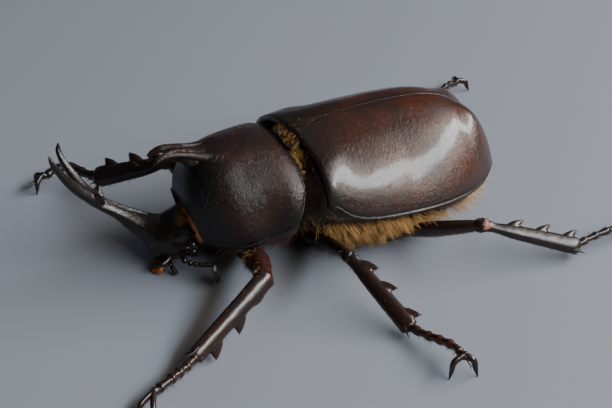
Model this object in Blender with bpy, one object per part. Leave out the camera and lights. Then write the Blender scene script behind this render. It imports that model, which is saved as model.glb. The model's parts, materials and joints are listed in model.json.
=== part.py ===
# Japanese rhinoceros beetle, a male standing at life size.
# Metres, +Z up. The head points towards -Y and the beetle's left side towards +X.
import math

import bmesh
import bpy
from mathutils import Matrix, Vector

MM = 0.001
GAP = 0.3 * MM  # clearance between touching shell pieces
MERGE = 0.002 * MM  # corners closer than this become one
LEAST_KEPT = 0.25  # share of a piece that a clearance cut leaves at least

# Where the beetle's own centre line and waist lie from the middle of its footprint
CENTRE_LINE_X = -3.12 * MM
WAIST_Y = -6.78 * MM

# Wing cases
ELYTRA_FRONT_Y = 0.2
ELYTRA_REAR_Y = 30.4
ELYTRA_HALF_WIDTH = 13.2
ELYTRA_WIDEST_Y = 14.0
ELYTRA_TOP_Z = 19.1
ELYTRA_MARGIN_Z = 7.8
ELYTRA_SHELL = 0.75
ELYTRA_STATIONS = 12
ELYTRA_ARC = 7
ELYTRA_FRONT = {"tuck": 1.7, "tuck_power": 2.2, "drop": 1.2, "drop_power": 1.6}
ELYTRA_END = {"past": 0.3, "plan_power": 2.3, "crown_power": 3.3, "crown_root": 0.68}
ELYTRA_SHOULDER = {"rise": 2.6, "from_y": 1.5, "length": 2.6}
ELYTRA_ARCH = {"side_power": 0.92, "front_fall": 0.92, "more_fall": 0.53, "even_from_y": 14.0}
ELYTRA_SLANT = {"per_width": 0.11, "length": 5.0}  # the left one starts a little further back
APICAL_SWELL = {"rise": 0.9, "y": 26.0, "length": 2.6, "x": 4.5, "width": 3.4}
INNER_LEAST_WIDTH = 1.8
INNER_LEAST_RISE = 0.25

# Rear body under the wing cases
BELLY_Z = 2.1
THORAX_FRONT_Y = -0.95
THORAX_REAR_Y = 13.0
ABDOMEN_REAR_Y = 28.4
BODY_ARC = 6
UNDER_POWER = 0.75
COLLAR_RINGS = (
    # y, half width, widest line's height, crown and belly
    (THORAX_FRONT_Y, 7.6, 10.2, 14.6, 4.6),
    (0.2, 8.9, 10.2, 15.6, 3.6),
)
THORAX_RING_YS = (1.6, 4.4, 8.4, THORAX_REAR_Y)
THORAX_KEEL = {"rise": 0.9, "y": 8.0, "length": 7.0}
UNDER_SLACK = 0.1
ABDOMEN_RINGS = {"count": 5, "places": ((0.0, 0.3), (0.4, 0.0)), "lift": 0.3, "rise": 3.6, "power": 2.2}
ABDOMEN_SLACK = 0.15
ABDOMEN_LEAD_Y = (0.4, 0.6)  # how far behind each ring its width and crown are read
ABDOMEN_END_BELLY = 6.2
SCUTELLUM = {
    "front_y": -0.7, "length": 4.7, "half": 3.1, "least": 0.45, "power": 1.9, "root": 0.8,
    "z": 16.5, "rise": 1.75, "thick": 0.75, "thin": 0.2, "rows": 5, "sides": 10,
}
PYGIDIUM_ROWS = (
    # behind the abdomen, height, half width and half height
    (0.3, 7.0, 4.6, 1.5),
    (0.8, 6.95, 4.2, 1.35),
    (1.25, 6.9, 2.8, 0.8),
)

# Head, turned a little to the beetle's right and leaning
NECK = Vector((0.0, -14.2, 7.0))
HEAD_TURN = math.radians(15.0)
HEAD_LEAN = math.radians(6.0)
HEAD_CLEARANCE = 0.25

# Rows of the head's pieces: left of, ahead of and above the neck, half sizes across and deep
HEAD_ROWS = (
    (0.0, -0.8, -1.2, 4.2, 3.3),
    (0.0, 1.4, -1.7, 4.4, 3.5),
    (0.0, 3.2, -2.5, 3.9, 3.1),
    (0.0, 4.5, -3.3, 3.2, 2.4),
    (0.0, 5.3, -4.0, 2.7, 1.35),
)
CLYPEUS_ROWS = (
    (0.0, 3.9, -4.2, 2.5, 0.9),
    (0.0, 5.2, -4.4, 2.6, 0.55),
    (0.0, 6.1, -4.45, 2.3, 0.4),
)
HORN_SHAFT_ROWS = (
    (0.0, 4.0, -2.6, 2.4, 2.3),
    (0.0, 6.1, -1.3, 2.0, 2.05),
    (0.0, 8.1, -0.1, 1.45, 1.6),
    (0.0, 10.3, 1.55, 1.15, 1.15),
    (0.0, 12.5, 3.0, 1.3, 1.0),
    (0.0, 14.0, 4.1, 1.6, 0.95),
)
HORN_PRONG_ROWS = {
    # the right prong bows out lower and ends shorter than the left one
    -1: (
        (0.6, 13.5, 3.9, 0.9, 0.9),
        (1.5, 15.05, 5.25, 0.84, 0.84),
        (2.3, 16.3, 6.95, 0.7, 0.7),
        (2.95, 17.4, 8.8, 0.52, 0.52),
        (3.35, 17.9, 10.8, 0.12, 0.12),
    ),
    1: (
        (0.6, 13.5, 4.0, 0.9, 0.9),
        (1.5, 15.2, 5.8, 0.86, 0.86),
        (2.3, 16.6, 7.7, 0.72, 0.72),
        (3.0, 17.8, 9.8, 0.5, 0.5),
        (3.4, 18.6, 11.8, 0.12, 0.12),
    ),
}
HORN_TINE = {"root": (0.8, 13.3, 3.7), "tip": (1.5, 13.3, 5.6), "radius": 0.7}
EYE_ROWS = (
    (3.5, 0.7, -2.2, 0.95, 1.0),
    (4.5, 0.7, -2.2, 0.9, 0.95),
)
ANTENNA_STALK_ROWS = (
    (3.2, 2.4, -3.2, 0.42, 0.42),
    (4.6, 2.0, -4.4, 0.38, 0.38),
    (5.2, 0.7, -4.7, 0.46, 0.46),
    (6.0, -0.7, -4.6, 0.38, 0.38),
    (6.7, -1.8, -4.4, 0.42, 0.42),
)
ANTENNA_BEADS = {"from_row": 3, "swell": 0.12, "waist": 0.06}
CLUB_PLATE_ROWS = (
    # as the others, with how far apart neighbouring plates lie
    (6.7, -1.9, -4.2, 0.3, 0.34, 0.12),
    (6.9, -2.2, -5.4, 0.28, 0.7, 0.42),
    (7.0, -2.4, -6.7, 0.26, 0.42, 0.5),
)
PALP_ROWS = (
    (1.7, 4.2, -5.1, 0.36, 0.36),
    (2.25, 3.95, -5.7, 0.44, 0.44),
    (2.8, 3.7, -6.2, 0.36, 0.36),
    (3.3, 3.4, -6.6, 0.42, 0.42),
)
BRUSH_ROWS = (
    (1.0, 4.4, -5.3, 1.9, 0.75),
    (1.4, 5.2, -5.7, 1.8, 0.7),
    (1.8, 5.7, -5.9, 1.2, 0.5),
)
BRUSH_LOCKS = {"count": 5, "root": (1.7, 5.4, -5.7), "tip": (2.5, 6.2, -6.7), "radius": 0.5}
THORACIC_STEM_ROWS = (
    (0.0, -9.2, 15.6, 2.6, 1.7),
    (0.0, -11.2, 15.9, 2.4, 2.0),
    (0.0, -13.2, 16.4, 2.0, 1.85),
    (0.0, -15.0, 17.1, 1.6, 1.35),
    (0.0, -16.6, 17.6, 1.45, 1.0),
)
THORACIC_PRONG_ROWS = (
    (0.55, -15.4, 17.4, 0.8, 0.8),
    (0.95, -17.3, 17.95, 0.62, 0.66),
    (1.3, -18.7, 17.75, 0.42, 0.45),
    (1.55, -19.8, 17.1, 0.1, 0.12),
)

# Shield over the prothorax: margin x, y, z and the crown's y, z, front to rear
PRONOTUM_ROWS = (
    (10.2, -1.5, 12.8, -1.2, 16.1),
    (10.75, -3.1, 9.9, -3.6, 17.3),
    (10.5, -5.9, 6.8, -7.0, 17.9),
    (9.3, -10.1, 5.9, -11.2, 17.4),
    (7.3, -13.3, 6.1, -14.3, 15.6),
    (5.8, -15.2, 6.4, -16.5, 11.2),
)
PRONOTUM_STATIONS = 10
PRONOTUM_ARC = {"steps": 6, "side_power": 0.9, "rise_power": 0.95, "below": 4, "sag": 0.5}
PROSTERNUM_SIDES = 12
PROSTERNUM = {
    "inset": 0.55, "front_from_y": 1.5, "length": 14.0, "bottom_z": 3.6, "bulge": 0.9, "bulge_reach": 1.15,
    "lean": 2.3, "lean_from": 0.75, "lean_depth": 0.9, "roof": 0.8,
}

# Legs: root, knee and ankle, then the bow of the foot to the claw joint
LEGS = {
    "fore_left": (
        (5.2, -8.6, 3.5), (17.7, -10.8, 6.2), (24.0, -22.1, 1.9),
        ((25.8, -24.2, 1.8), (27.5, -26.6, 1.9), (28.7, -28.6, 1.8)),
        ((30.9, -32.2, 0.0), (32.8, -30.6, 0.0)),
    ),
    "mid_left": (
        (5.6, 1.3, 3.0), (18.0, 1.4, 6.9), (28.8, 5.0, 1.5),
        ((31.6, 5.9, 1.8), (34.3, 6.8, 2.4), (36.7, 7.6, 2.8), (38.2, 7.7, 2.8)),
        ((39.4, 5.6, 0.0), (40.3, 9.1, 0.0)),
    ),
    "hind_left": (
        (8.0, 11.0, 2.7), (17.4, 21.6, 6.2), (21.6, 34.0, 2.0),
        ((21.1, 36.7, 2.3), (20.6, 39.6, 2.4), (20.2, 42.1, 2.2), (20.0, 43.6, 1.8)),
        ((18.6, 45.9, 0.0), (21.2, 46.2, 0.0)),
    ),
    "fore_right": (
        (-5.2, -8.6, 3.5), (-14.4, -13.2, 8.1), (-23.2, -22.1, 3.2),
        ((-26.0, -23.4, 2.6), (-28.6, -25.2, 2.9), (-29.3, -27.6, 2.6), (-29.1, -28.8, 2.1)),
        ((-27.3, -31.1, 0.0), (-30.6, -30.6, 0.0)),
    ),
    "mid_right": (
        (-5.6, 1.3, 3.0), (-15.8, 6.2, 8.0), (-22.6, 11.0, 1.7),
        ((-24.4, 12.3, 1.9), (-26.4, 13.7, 2.2), (-28.1, 14.8, 2.0), (-29.0, 15.3, 1.7)),
        ((-31.3, 15.1, 0.0), (-29.8, 17.6, 0.0)),
    ),
    "hind_right": (
        (-8.0, 11.0, 2.7), (-15.0, 23.8, 6.5), (-24.3, 34.4, 4.0),
        ((-26.3, 36.6, 3.6), (-28.4, 38.9, 3.3), (-30.2, 41.0, 2.7), (-31.1, 42.1, 2.1)),
        ((-31.4, 44.9, 0.0), (-34.1, 43.2, 0.0)),
    ),
}

# Half sizes of a leg's pieces across its bending plane and in it, the thigh's bow and the shin's teeth
LEG_SIZES = {
    "fore": {
        "femur": (1.05, 1.35), "bow": 0.35, "tibia": (0.75, 0.95), "apex": (0.8, 1.25), "teeth": (0.9, 0.6, 0.3),
    },
    "mid": {
        "femur": (0.95, 1.3), "bow": 0.0, "tibia": (0.65, 0.85), "apex": (0.8, 1.1), "teeth": (0.96, 0.58, 0.28),
    },
    "hind": {
        "femur": (1.05, 1.3), "bow": -0.35, "tibia": (0.65, 0.8), "apex": (0.85, 1.2), "teeth": (0.96, 0.67, 0.38),
    },
}

# A coxa's rows along the leg from its root, and a femur's thickness along its length
COXA_ROWS = ((-2.0, 1.5, 1.6), (0.4, 1.55, 1.7), (2.2, 1.2, 1.35), (3.3, 0.85, 0.95))
FEMUR_SWELL = ((0.22, 0.62), (0.36, 0.92), (0.52, 1.0), (0.7, 0.9), (0.86, 0.72), (1.0, 0.66))
FEMUR_FLATNESS = 0.35

# A shin's growth from its base to its end, and the teeth and spurs on it
TIBIA_GROWTH = ((0.0, 0.1), (0.1, -0.1), (0.35, 0.55), (0.75, 0.9), (1.0, 1.0))
TOOTH = {"reach": 1.15, "less": 0.15, "root_back": 0.9, "tip_on": 0.3, "root_in": 0.3, "tip_out": 0.85,
         "radius": 0.8, "bow": 0.15}
SPUR = {"back": 0.9, "on": 1.4, "root_side": 0.55, "tip_side": 0.9, "root_in": 0.6, "tip_in": 0.9,
        "radius": 0.34}
LEAST_TIP_Z = 0.1

# Where the five foot joints end along the foot, and each joint's half size at places along it
TARSUS_ENDS = (0.0, 0.19, 0.36, 0.53, 0.7, 1.0)
TARSUS_READS = 32
TARSUS_SLIM = 0.3
TARSUS_FLARE = (0.56, 0.56, 0.56, 0.56, 0.5)
TARSUS_END = 0.34
CLAW_ROOT = {"back": 0.2, "on": 1.05, "radius": 0.36, "hooks_from": 0.95}
CLAW_HOOK = {"knuckle_out": 0.65, "knuckle_down": 0.15, "below_floor": 0.25}
CLAW_SIZES = ((0.3, 0.32), (0.28, 0.3), (0.26, 0.27), (0.25, 0.25))

# How far each shin's toothed edge is turned from the bending plane
TEETH_TURN = {
    "fore_left": math.radians(80),
    "mid_left": math.radians(80),
    "hind_left": math.radians(75),
    "fore_right": math.radians(-15),
    "mid_right": math.radians(-80),
    "hind_right": math.radians(-75),
}

COLOURS = {
    "shell_dark": ((0.022, 0.012, 0.009), 0.34),
    "shell_red": ((0.085, 0.026, 0.015), 0.27),
    "horn": ((0.016, 0.012, 0.011), 0.45),
    "leg": ((0.028, 0.012, 0.008), 0.3),
    "under": ((0.07, 0.038, 0.018), 0.6),
    "eye": ((0.006, 0.005, 0.005), 0.08),
    "brush": ((0.55, 0.21, 0.03), 0.65),
}


def clear_scene():
    for item in list(bpy.data.objects):
        bpy.data.objects.remove(item, do_unlink=True)


def finish(slot):
    material = bpy.data.materials.get(slot)
    if material is None:
        colour, roughness = COLOURS[slot]
        material = bpy.data.materials.new(slot)
        material.use_nodes = True
        shader = material.node_tree.nodes["Principled BSDF"]
        shader.inputs["Base Color"].default_value = (*colour, 1.0)
        shader.inputs["Roughness"].default_value = roughness
        shader.inputs["Metallic"].default_value = 0.0
    return material


def smooth_rows(rows, count):
    """Rows of numbers read at even steps along a Catmull-Rom curve through the given rows."""
    last = len(rows) - 1
    read = []
    for step in range(count):
        place = step * last / (count - 1)
        i = min(int(place), last - 1)
        t = place - i
        around = (rows[max(i - 1, 0)], rows[i], rows[i + 1], rows[min(i + 2, last)])
        read.append([
            0.5 * (2 * b + (c - a) * t + (2 * a - 5 * b + 4 * c - d) * t * t
                   + (3 * b - a - 3 * c + d) * t ** 3)
            for a, b, c, d in zip(*around)
        ])
    return read


def loft(rings, arch=False):
    """A closed body through rings of equally many points in millimetres, its ends fanned shut.

    An arch's rings go out along its outer face and back along its inner one.
    """
    body = bmesh.new()
    loops = [[body.verts.new(Vector(point) * MM) for point in ring] for ring in rings]
    count = len(loops[0])
    for near, far in zip(loops, loops[1:]):
        for i in range(count):
            j = (i + 1) % count
            body.faces.new((near[i], near[j], far[j], far[i]))
    for loop in (loops[0], loops[-1]):
        if arch:
            for i in range(count // 2 - 1):
                body.faces.new((loop[i], loop[i + 1], loop[count - 2 - i], loop[count - 1 - i]))
            continue
        middle = body.verts.new(sum((vert.co for vert in loop), Vector()) / count)
        for i in range(count):
            body.faces.new((loop[i], loop[(i + 1) % count], middle))
    bmesh.ops.recalc_face_normals(body, faces=body.faces)
    bmesh.ops.triangulate(body, faces=body.faces)
    return body


def tube(rows, sides, plane, round_start=False, round_end=False):
    """A body along x, y, z, half size across the plane and half size in the plane, per row."""
    points = [Vector(row[:3]) for row in rows]
    rows = [list(row) for row in rows]
    rings = []
    last = len(points) - 1
    for i, row in enumerate(rows):
        along = (points[min(i + 1, last)] - points[max(i - 1, 0)]).normalized()
        across = (plane - along * plane.dot(along)).normalized()
        rise = along.cross(across)
        shifts = [(0.0, 1.0)]
        if i == 0 and round_start:
            shifts = [(-0.94, 0.34), (-0.64, 0.77), (0.0, 1.0)]
        if i == last and round_end:
            shifts = [(0.0, 1.0), (0.64, 0.77), (0.94, 0.34)]
        for ahead, scale in shifts:
            centre = points[i] + along * ahead * min(row[3], row[4])
            ring = []
            for k in range(sides):
                angle = 2 * math.pi * k / sides
                ring.append(centre + across * math.cos(angle) * row[3] * scale
                            + rise * math.sin(angle) * row[4] * scale)
            rings.append(ring)
    return loft(rings)


def spine(root, tip, radius, bend=Vector((0, 0, 0)), sides=4):
    """A tapered point from a root inside its carrier to its tip, bowed by an offset."""
    root, tip = Vector(root), Vector(tip)
    along = (tip - root).normalized()
    across = along.orthogonal().normalized()
    rise = along.cross(across)
    rings = []
    for place, scale in ((0.0, 1.0), (0.55, 0.62), (1.0, 0.1)):
        centre = root.lerp(tip, place) + bend * math.sin(math.pi * place)
        rings.append([
            centre + (across * math.cos(2 * math.pi * k / sides)
                      + rise * math.sin(2 * math.pi * k / sides)) * radius * scale
            for k in range(sides)
        ])
    return loft(rings)


def piece(name, body, slot=None):
    mesh = bpy.data.meshes.new(name)
    body.to_mesh(mesh)
    body.free()
    item = bpy.data.objects.new(name, mesh)
    bpy.context.scene.collection.objects.link(item)
    if slot:
        mesh.materials.append(finish(slot))
    return item


def largest_body(body):
    """Only the closed surface with the largest volume stays."""
    left = set(body.verts)
    groups = []
    while left:
        group = {left.pop()}
        edge = list(group)
        while edge:
            vert = edge.pop()
            for link in vert.link_edges:
                other = link.other_vert(vert)
                if other in left:
                    left.remove(other)
                    group.add(other)
                    edge.append(other)
        groups.append(group)
    if len(groups) < 2:
        return
    sizes = []
    for group in groups:
        volume = 0.0
        for face in {face for vert in group for face in vert.link_faces}:
            corners = [vert.co for vert in face.verts]
            for a, b in zip(corners[1:], corners[2:]):
                volume += corners[0].dot(a.cross(b)) / 6
        sizes.append(volume)
    kept = groups[sizes.index(max(sizes))]
    bmesh.ops.delete(body, geom=[vert for vert in body.verts if vert not in kept], context="VERTS")


def volume_of(body):
    return body.calc_volume(signed=True)


def boolean_result(item, solver, merge):
    """The item's one Boolean worked out, tidied and kept to its largest body."""
    item.modifiers[0].solver = solver
    graph = bpy.context.evaluated_depsgraph_get()
    result = bpy.data.meshes.new_from_object(item.evaluated_get(graph))
    body = bmesh.new()
    body.from_mesh(result)
    bpy.data.meshes.remove(result)
    bmesh.ops.remove_doubles(body, verts=body.verts, dist=merge)
    bmesh.ops.dissolve_degenerate(body, dist=0.5 * merge, edges=body.edges)
    largest_body(body)
    bmesh.ops.triangulate(body, faces=body.faces)
    return body


def apply_boolean(item, operation, operands):
    """One Boolean between an item and a collection of closed objects, which are then removed."""
    group = bpy.data.collections.new("operands")
    bpy.context.scene.collection.children.link(group)
    for operand in operands:
        group.objects.link(operand)
    before = bmesh.new()
    before.from_mesh(item.data)
    least = volume_of(before) * (0.999 if operation == "UNION" else LEAST_KEPT)
    before.free()
    modifier = item.modifiers.new("join", "BOOLEAN")
    modifier.operation = operation
    modifier.operand_type = "COLLECTION"
    modifier.collection = group
    body = boolean_result(item, "EXACT", MERGE)
    if volume_of(body) < least or any(not edge.is_manifold for edge in body.edges):
        body.free()
        body = boolean_result(item, "MANIFOLD", MERGE)
    item.modifiers.clear()
    body.to_mesh(item.data)
    body.free()
    for operand in operands:
        bpy.data.objects.remove(operand, do_unlink=True)
    bpy.data.collections.remove(group)


def fuse(item, bodies):
    apply_boolean(item, "UNION", [piece("operand", body) for body in bodies])


def grown(mesh, margin):
    """A copy of a closed mesh with every face moved out by about the margin."""
    body = bmesh.new()
    body.from_mesh(mesh)
    body.normal_update()
    moves = [vert.normal * margin * min(vert.calc_shell_factor(), 1.6) for vert in body.verts]
    for vert, move in zip(body.verts, moves):
        vert.co += move
    return body


def clear_of(item, shapes):
    """The item is cut back so that it meets each of the shapes across the clearance."""
    for shape in shapes:
        apply_boolean(item, "DIFFERENCE", [piece("operand", grown(shape, GAP))])


def cut_flat_at_floor(item):
    """What reaches below the floor is cut off level with it."""
    body = bmesh.new()
    body.from_mesh(item.data)
    geometry = list(body.verts) + list(body.edges) + list(body.faces)
    bmesh.ops.bisect_plane(body, geom=geometry, plane_co=(0, 0, 0), plane_no=(0, 0, 1), clear_inner=True)
    rims = [edge for edge in body.edges if edge.is_boundary]
    bmesh.ops.holes_fill(body, edges=rims)
    bmesh.ops.triangulate(body, faces=body.faces)
    bmesh.ops.recalc_face_normals(body, faces=body.faces)
    body.to_mesh(item.data)
    body.free()


def shade(item):
    item.data.shade_smooth()
    item.data.set_sharp_from_angle(angle=math.radians(40))


# Wing cases and the rear body under them

def elytra_ahead(y):
    """The share of the way from the widest line forward to the front."""
    return max((ELYTRA_WIDEST_Y - y) / (ELYTRA_WIDEST_Y - ELYTRA_FRONT_Y), 0.0)


def elytra_behind(y):
    """The share of the way from the widest line back to the rear end."""
    return (y - ELYTRA_WIDEST_Y) / (ELYTRA_REAR_Y + ELYTRA_END["past"] - ELYTRA_WIDEST_Y)


def elytra_half_width(y):
    if y < ELYTRA_WIDEST_Y:
        return ELYTRA_HALF_WIDTH - ELYTRA_FRONT["tuck"] * elytra_ahead(y) ** ELYTRA_FRONT["tuck_power"]
    return ELYTRA_HALF_WIDTH * math.sqrt(max(1.0 - elytra_behind(y) ** ELYTRA_END["plan_power"], 0.0))


def elytra_margin(y):
    behind = max(y - ELYTRA_SHOULDER["from_y"], 0.0) / ELYTRA_SHOULDER["length"]
    return ELYTRA_MARGIN_Z + ELYTRA_SHOULDER["rise"] * math.exp(-behind)


def elytra_crown(y):
    if y < ELYTRA_WIDEST_Y:
        return ELYTRA_TOP_Z - ELYTRA_FRONT["drop"] * elytra_ahead(y) ** ELYTRA_FRONT["drop_power"]
    rest = max(1.0 - elytra_behind(y) ** ELYTRA_END["crown_power"], 0.0)
    return ELYTRA_MARGIN_Z + (ELYTRA_TOP_Z - ELYTRA_MARGIN_Z) * rest ** ELYTRA_END["crown_root"]


def apical_bump(x, y):
    """The swelling above the steep rear end of each wing case."""
    along = (y - APICAL_SWELL["y"]) / APICAL_SWELL["length"]
    across = (abs(x) - APICAL_SWELL["x"]) / APICAL_SWELL["width"]
    return APICAL_SWELL["rise"] * math.exp(-along ** 2 - across ** 2)


def dome_arc(half_width, foot, crown, steps, fall=1.0):
    """Points of a full, rounded arch from its crown down to its side, as x and z."""
    arc = []
    for step in range(steps):
        angle = math.pi / 2 * (1 - step / (steps - 1))
        x = half_width * max(math.cos(angle), 0.0) ** ELYTRA_ARCH["side_power"]
        arc.append((x, foot + (crown - foot) * math.sin(angle) ** fall))
    return arc


def elytra_fall(y):
    """How soon the arch drops away from its crown, more towards the rear."""
    share = min(max(y / ELYTRA_ARCH["even_from_y"], 0.0), 1.0)
    return ELYTRA_ARCH["front_fall"] + ELYTRA_ARCH["more_fall"] * share


def slanted(x, y):
    """The front edges lie askew, the left one further back."""
    return y + ELYTRA_SLANT["per_width"] * x * math.exp(-(y / ELYTRA_SLANT["length"]) ** 2)


def station_y(step, steps, front, rear):
    """Stations closer together towards the rear end."""
    return front + (rear - front) * math.sin(math.pi / 2 * step / (steps - 1)) ** 0.9


def make_elytron(name, side):
    rings = []
    seam = 0.5 * GAP / MM
    for step in range(ELYTRA_STATIONS):
        y = station_y(step, ELYTRA_STATIONS, ELYTRA_FRONT_Y, ELYTRA_REAR_Y)
        width, foot, crown = elytra_half_width(y), elytra_margin(y), elytra_crown(y)
        outer = [
            (side * max(x, seam), slanted(side * x, y), z + apical_bump(x, y))
            for x, z in dome_arc(width, foot, crown, ELYTRA_ARC, elytra_fall(y))
        ]
        inner_y = y - ELYTRA_SHELL * (step / (ELYTRA_STATIONS - 1)) ** 3
        inner_width = max(width - ELYTRA_SHELL, INNER_LEAST_WIDTH)
        inner_crown = max(crown - ELYTRA_SHELL, foot + INNER_LEAST_RISE)
        inner = [
            (side * max(x, seam), slanted(side * x, inner_y), z)
            for x, z in dome_arc(inner_width, foot, inner_crown, ELYTRA_ARC, elytra_fall(y))
        ]
        rings.append(outer + inner[::-1])
    return piece(name, loft(rings, arch=True), "shell_red")


def body_ring(y, width, foot, crown, belly, steps=BODY_ARC):
    """A closed ring of the rear body: an arch above its widest line and a flatter keel below."""
    half = dome_arc(width, foot, crown, steps, elytra_fall(y))
    under = []
    for step in range(1, steps):
        angle = math.pi / 2 * step / (steps - 1)
        x = width * max(math.cos(angle), 0.0) ** UNDER_POWER
        under.append((x, foot - (foot - belly) * math.sin(angle)))
    right = half + under
    left = [(-x, z) for x, z in reversed(right[1:-1])]
    return [(x, y, z) for x, z in right + left]


def make_thorax():
    """The middle and hind thorax, with the narrow collar that the pronotum meets."""
    inset = ELYTRA_SHELL + GAP / MM + UNDER_SLACK
    rings = [body_ring(*row) for row in COLLAR_RINGS]
    for y in THORAX_RING_YS:
        belly = BELLY_Z + THORAX_KEEL["rise"] * ((THORAX_KEEL["y"] - y) / THORAX_KEEL["length"]) ** 2
        width, crown = elytra_half_width(y) - inset, elytra_crown(y) - inset
        rings.append(body_ring(y, width, elytra_margin(y) - UNDER_SLACK, crown, belly))
    return piece("thorax", loft(rings), "under")


def make_abdomen():
    """The belly rings, each with a slight waist where it meets the next."""
    inset = ELYTRA_SHELL + GAP / MM + ABDOMEN_SLACK
    width_lead, crown_lead = ABDOMEN_LEAD_Y
    rings = []
    start = THORAX_REAR_Y + GAP / MM
    length = ABDOMEN_REAR_Y - start
    for segment in range(ABDOMEN_RINGS["count"]):
        for place, waist in ABDOMEN_RINGS["places"]:
            rear = (segment + place) / ABDOMEN_RINGS["count"]
            y = start + length * rear
            if rear == 0.0:
                waist = 0.0
            width = elytra_half_width(y + width_lead) - inset - 0.5 * waist
            crown = elytra_crown(y + crown_lead * rear) - inset
            rise = ABDOMEN_RINGS["rise"] * rear ** ABDOMEN_RINGS["power"]
            belly = BELLY_Z + ABDOMEN_RINGS["lift"] + rise + waist
            rings.append(body_ring(y, width, elytra_margin(y) - UNDER_SLACK, crown, belly))
    y = ABDOMEN_REAR_Y
    width, crown = elytra_half_width(y + width_lead) - inset, elytra_crown(y + crown_lead) - inset
    rings.append(body_ring(y, width, ELYTRA_MARGIN_Z - UNDER_SLACK, crown, ABDOMEN_END_BELLY))
    return piece("abdomen", loft(rings), "under")


def make_scutellum():
    """The small shield between the bases of the wing cases."""
    form = SCUTELLUM
    rows = []
    for step in range(form["rows"]):
        place = step / (form["rows"] - 1)
        half = form["half"] * (1 - place ** form["power"]) ** form["root"] + form["least"]
        y = form["front_y"] + form["length"] * place
        z = form["z"] + form["rise"] * math.sin(place * math.pi / 2)
        rows.append((0.0, y, z, half, form["thick"] - form["thin"] * place))
    return piece("scutellum", tube(rows, form["sides"], Vector((1, 0, 0))), "shell_dark")


def make_pygidium():
    """The upright plate that closes the body behind the wing cases."""
    rows = [(0.0, ABDOMEN_REAR_Y + behind, z, across, deep) for behind, z, across, deep in PYGIDIUM_ROWS]
    return piece("pygidium", tube(rows, 14, Vector((1, 0, 0)), round_end=True), "shell_dark")


# Prothorax

def pronotum_ring(row):
    """A ring over the crown from the left margin to the right and back below it."""
    side, side_y, side_z, crown_y, crown_z = row
    form = PRONOTUM_ARC
    over = []
    for step in range(2 * form["steps"] + 1):
        angle = math.pi * step / (2 * form["steps"])
        rise, across = math.sin(angle), math.cos(angle)
        x = side * math.copysign(abs(across) ** form["side_power"], across)
        z = side_z + (crown_z - side_z) * rise ** form["rise_power"]
        over.append((x, side_y + (crown_y - side_y) * rise, z))
    below = []
    for step in range(1, form["below"]):
        x = side * (2 * step / form["below"] - 1)
        below.append((x, side_y, side_z - form["sag"] * (1 - (x / side) ** 2)))
    return over + below


def make_pronotum():
    rings = [pronotum_ring(row) for row in smooth_rows(PRONOTUM_ROWS, PRONOTUM_STATIONS)]
    return piece("pronotum", loft(rings), "shell_dark")


def make_prosternum():
    """The underside of the prothorax, from margin to margin."""
    form = PROSTERNUM
    rings = []
    for side, side_y, side_z, crown_y, crown_z in smooth_rows(PRONOTUM_ROWS, PRONOTUM_STATIONS):
        side -= form["inset"]
        front = min(max((-side_y - form["front_from_y"]) / form["length"], 0.0), 1.0)
        bulge = form["bulge"] * math.sin(math.pi * min(front * form["bulge_reach"], 1.0))
        bottom = form["bottom_z"] - bulge
        lean = form["lean"] * max(front - form["lean_from"], 0.0) / (1 - form["lean_from"])
        ring = []
        for step in range(PROSTERNUM_SIDES):
            angle = 2 * math.pi * step / PROSTERNUM_SIDES
            x, drop = side * math.cos(angle), math.sin(angle)
            if drop <= 0:
                y = side_y - lean * drop * form["lean_depth"]
                ring.append((x, y, side_z + (side_z - bottom) * drop))
            else:
                ring.append((x, side_y, side_z + form["roof"] * drop))
        rings.append(ring)
    return piece("prosternum", loft(rings), "under")


def mirrored(rows, side):
    """Rows of one side of the body, turned to the given side."""
    return [(side * row[0], *row[1:]) for row in rows]


def make_thoracic_horn():
    """The short horn over the shield's front, parted at its tip."""
    plane = Vector((1, 0, 0))
    horn = piece("thoracic_horn", tube(smooth_rows(THORACIC_STEM_ROWS, 6), 10, plane, round_end=True), "horn")
    fuse(horn, [tube(smooth_rows(mirrored(THORACIC_PRONG_ROWS, side), 5), 6, plane) for side in (-1, 1)])
    return horn


# Head

HEAD_FRAME = (
    Matrix.Translation(NECK)
    @ Matrix.Rotation(-HEAD_TURN, 4, "Z")
    @ Matrix.Rotation(-HEAD_LEAN, 4, "Y")
)


def head_place(left, ahead, up):
    """A point of the head from its distances left of, ahead of and above the neck."""
    return HEAD_FRAME @ Vector((left, -ahead, up))


def head_rows(rows):
    """Rows measured from the neck, brought to the body and held clear of the floor."""
    placed = []
    for left, ahead, up, across, deep in rows:
        x, y, z = head_place(left, ahead, up)
        placed.append((x, y, max(z, max(across, deep) + HEAD_CLEARANCE), across, deep))
    return placed


def head_axis():
    return HEAD_FRAME.to_3x3() @ Vector((1, 0, 0))


def make_head():
    rows = head_rows(smooth_rows(HEAD_ROWS, 7))
    head = piece("head", tube(rows, 12, head_axis(), round_end=True), "shell_dark")
    fuse(head, [tube(head_rows(CLYPEUS_ROWS), 8, head_axis())])
    return head


def make_head_horn():
    """The long horn, forked at its end, with a smaller tine at the root of each prong."""
    axis = head_axis()
    shaft = head_rows(smooth_rows(HORN_SHAFT_ROWS, 8))
    horn = piece("head_horn", tube(shaft, 10, axis, round_end=True), "horn")
    extras = []
    for side, rows in HORN_PRONG_ROWS.items():
        extras.append(tube(head_rows(smooth_rows(mirrored(rows, side), 7)), 6, axis))
        root, tip = mirrored((HORN_TINE["root"], HORN_TINE["tip"]), side)
        extras.append(spine(head_place(*root), head_place(*tip), HORN_TINE["radius"], sides=5))
    fuse(horn, extras)
    return horn


def make_eye(name, side):
    plane = HEAD_FRAME.to_3x3() @ Vector((0, 1, 0))
    rows = head_rows(mirrored(EYE_ROWS, side))
    return piece(name, tube(rows, 10, plane, round_start=True, round_end=True), "eye")


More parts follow.
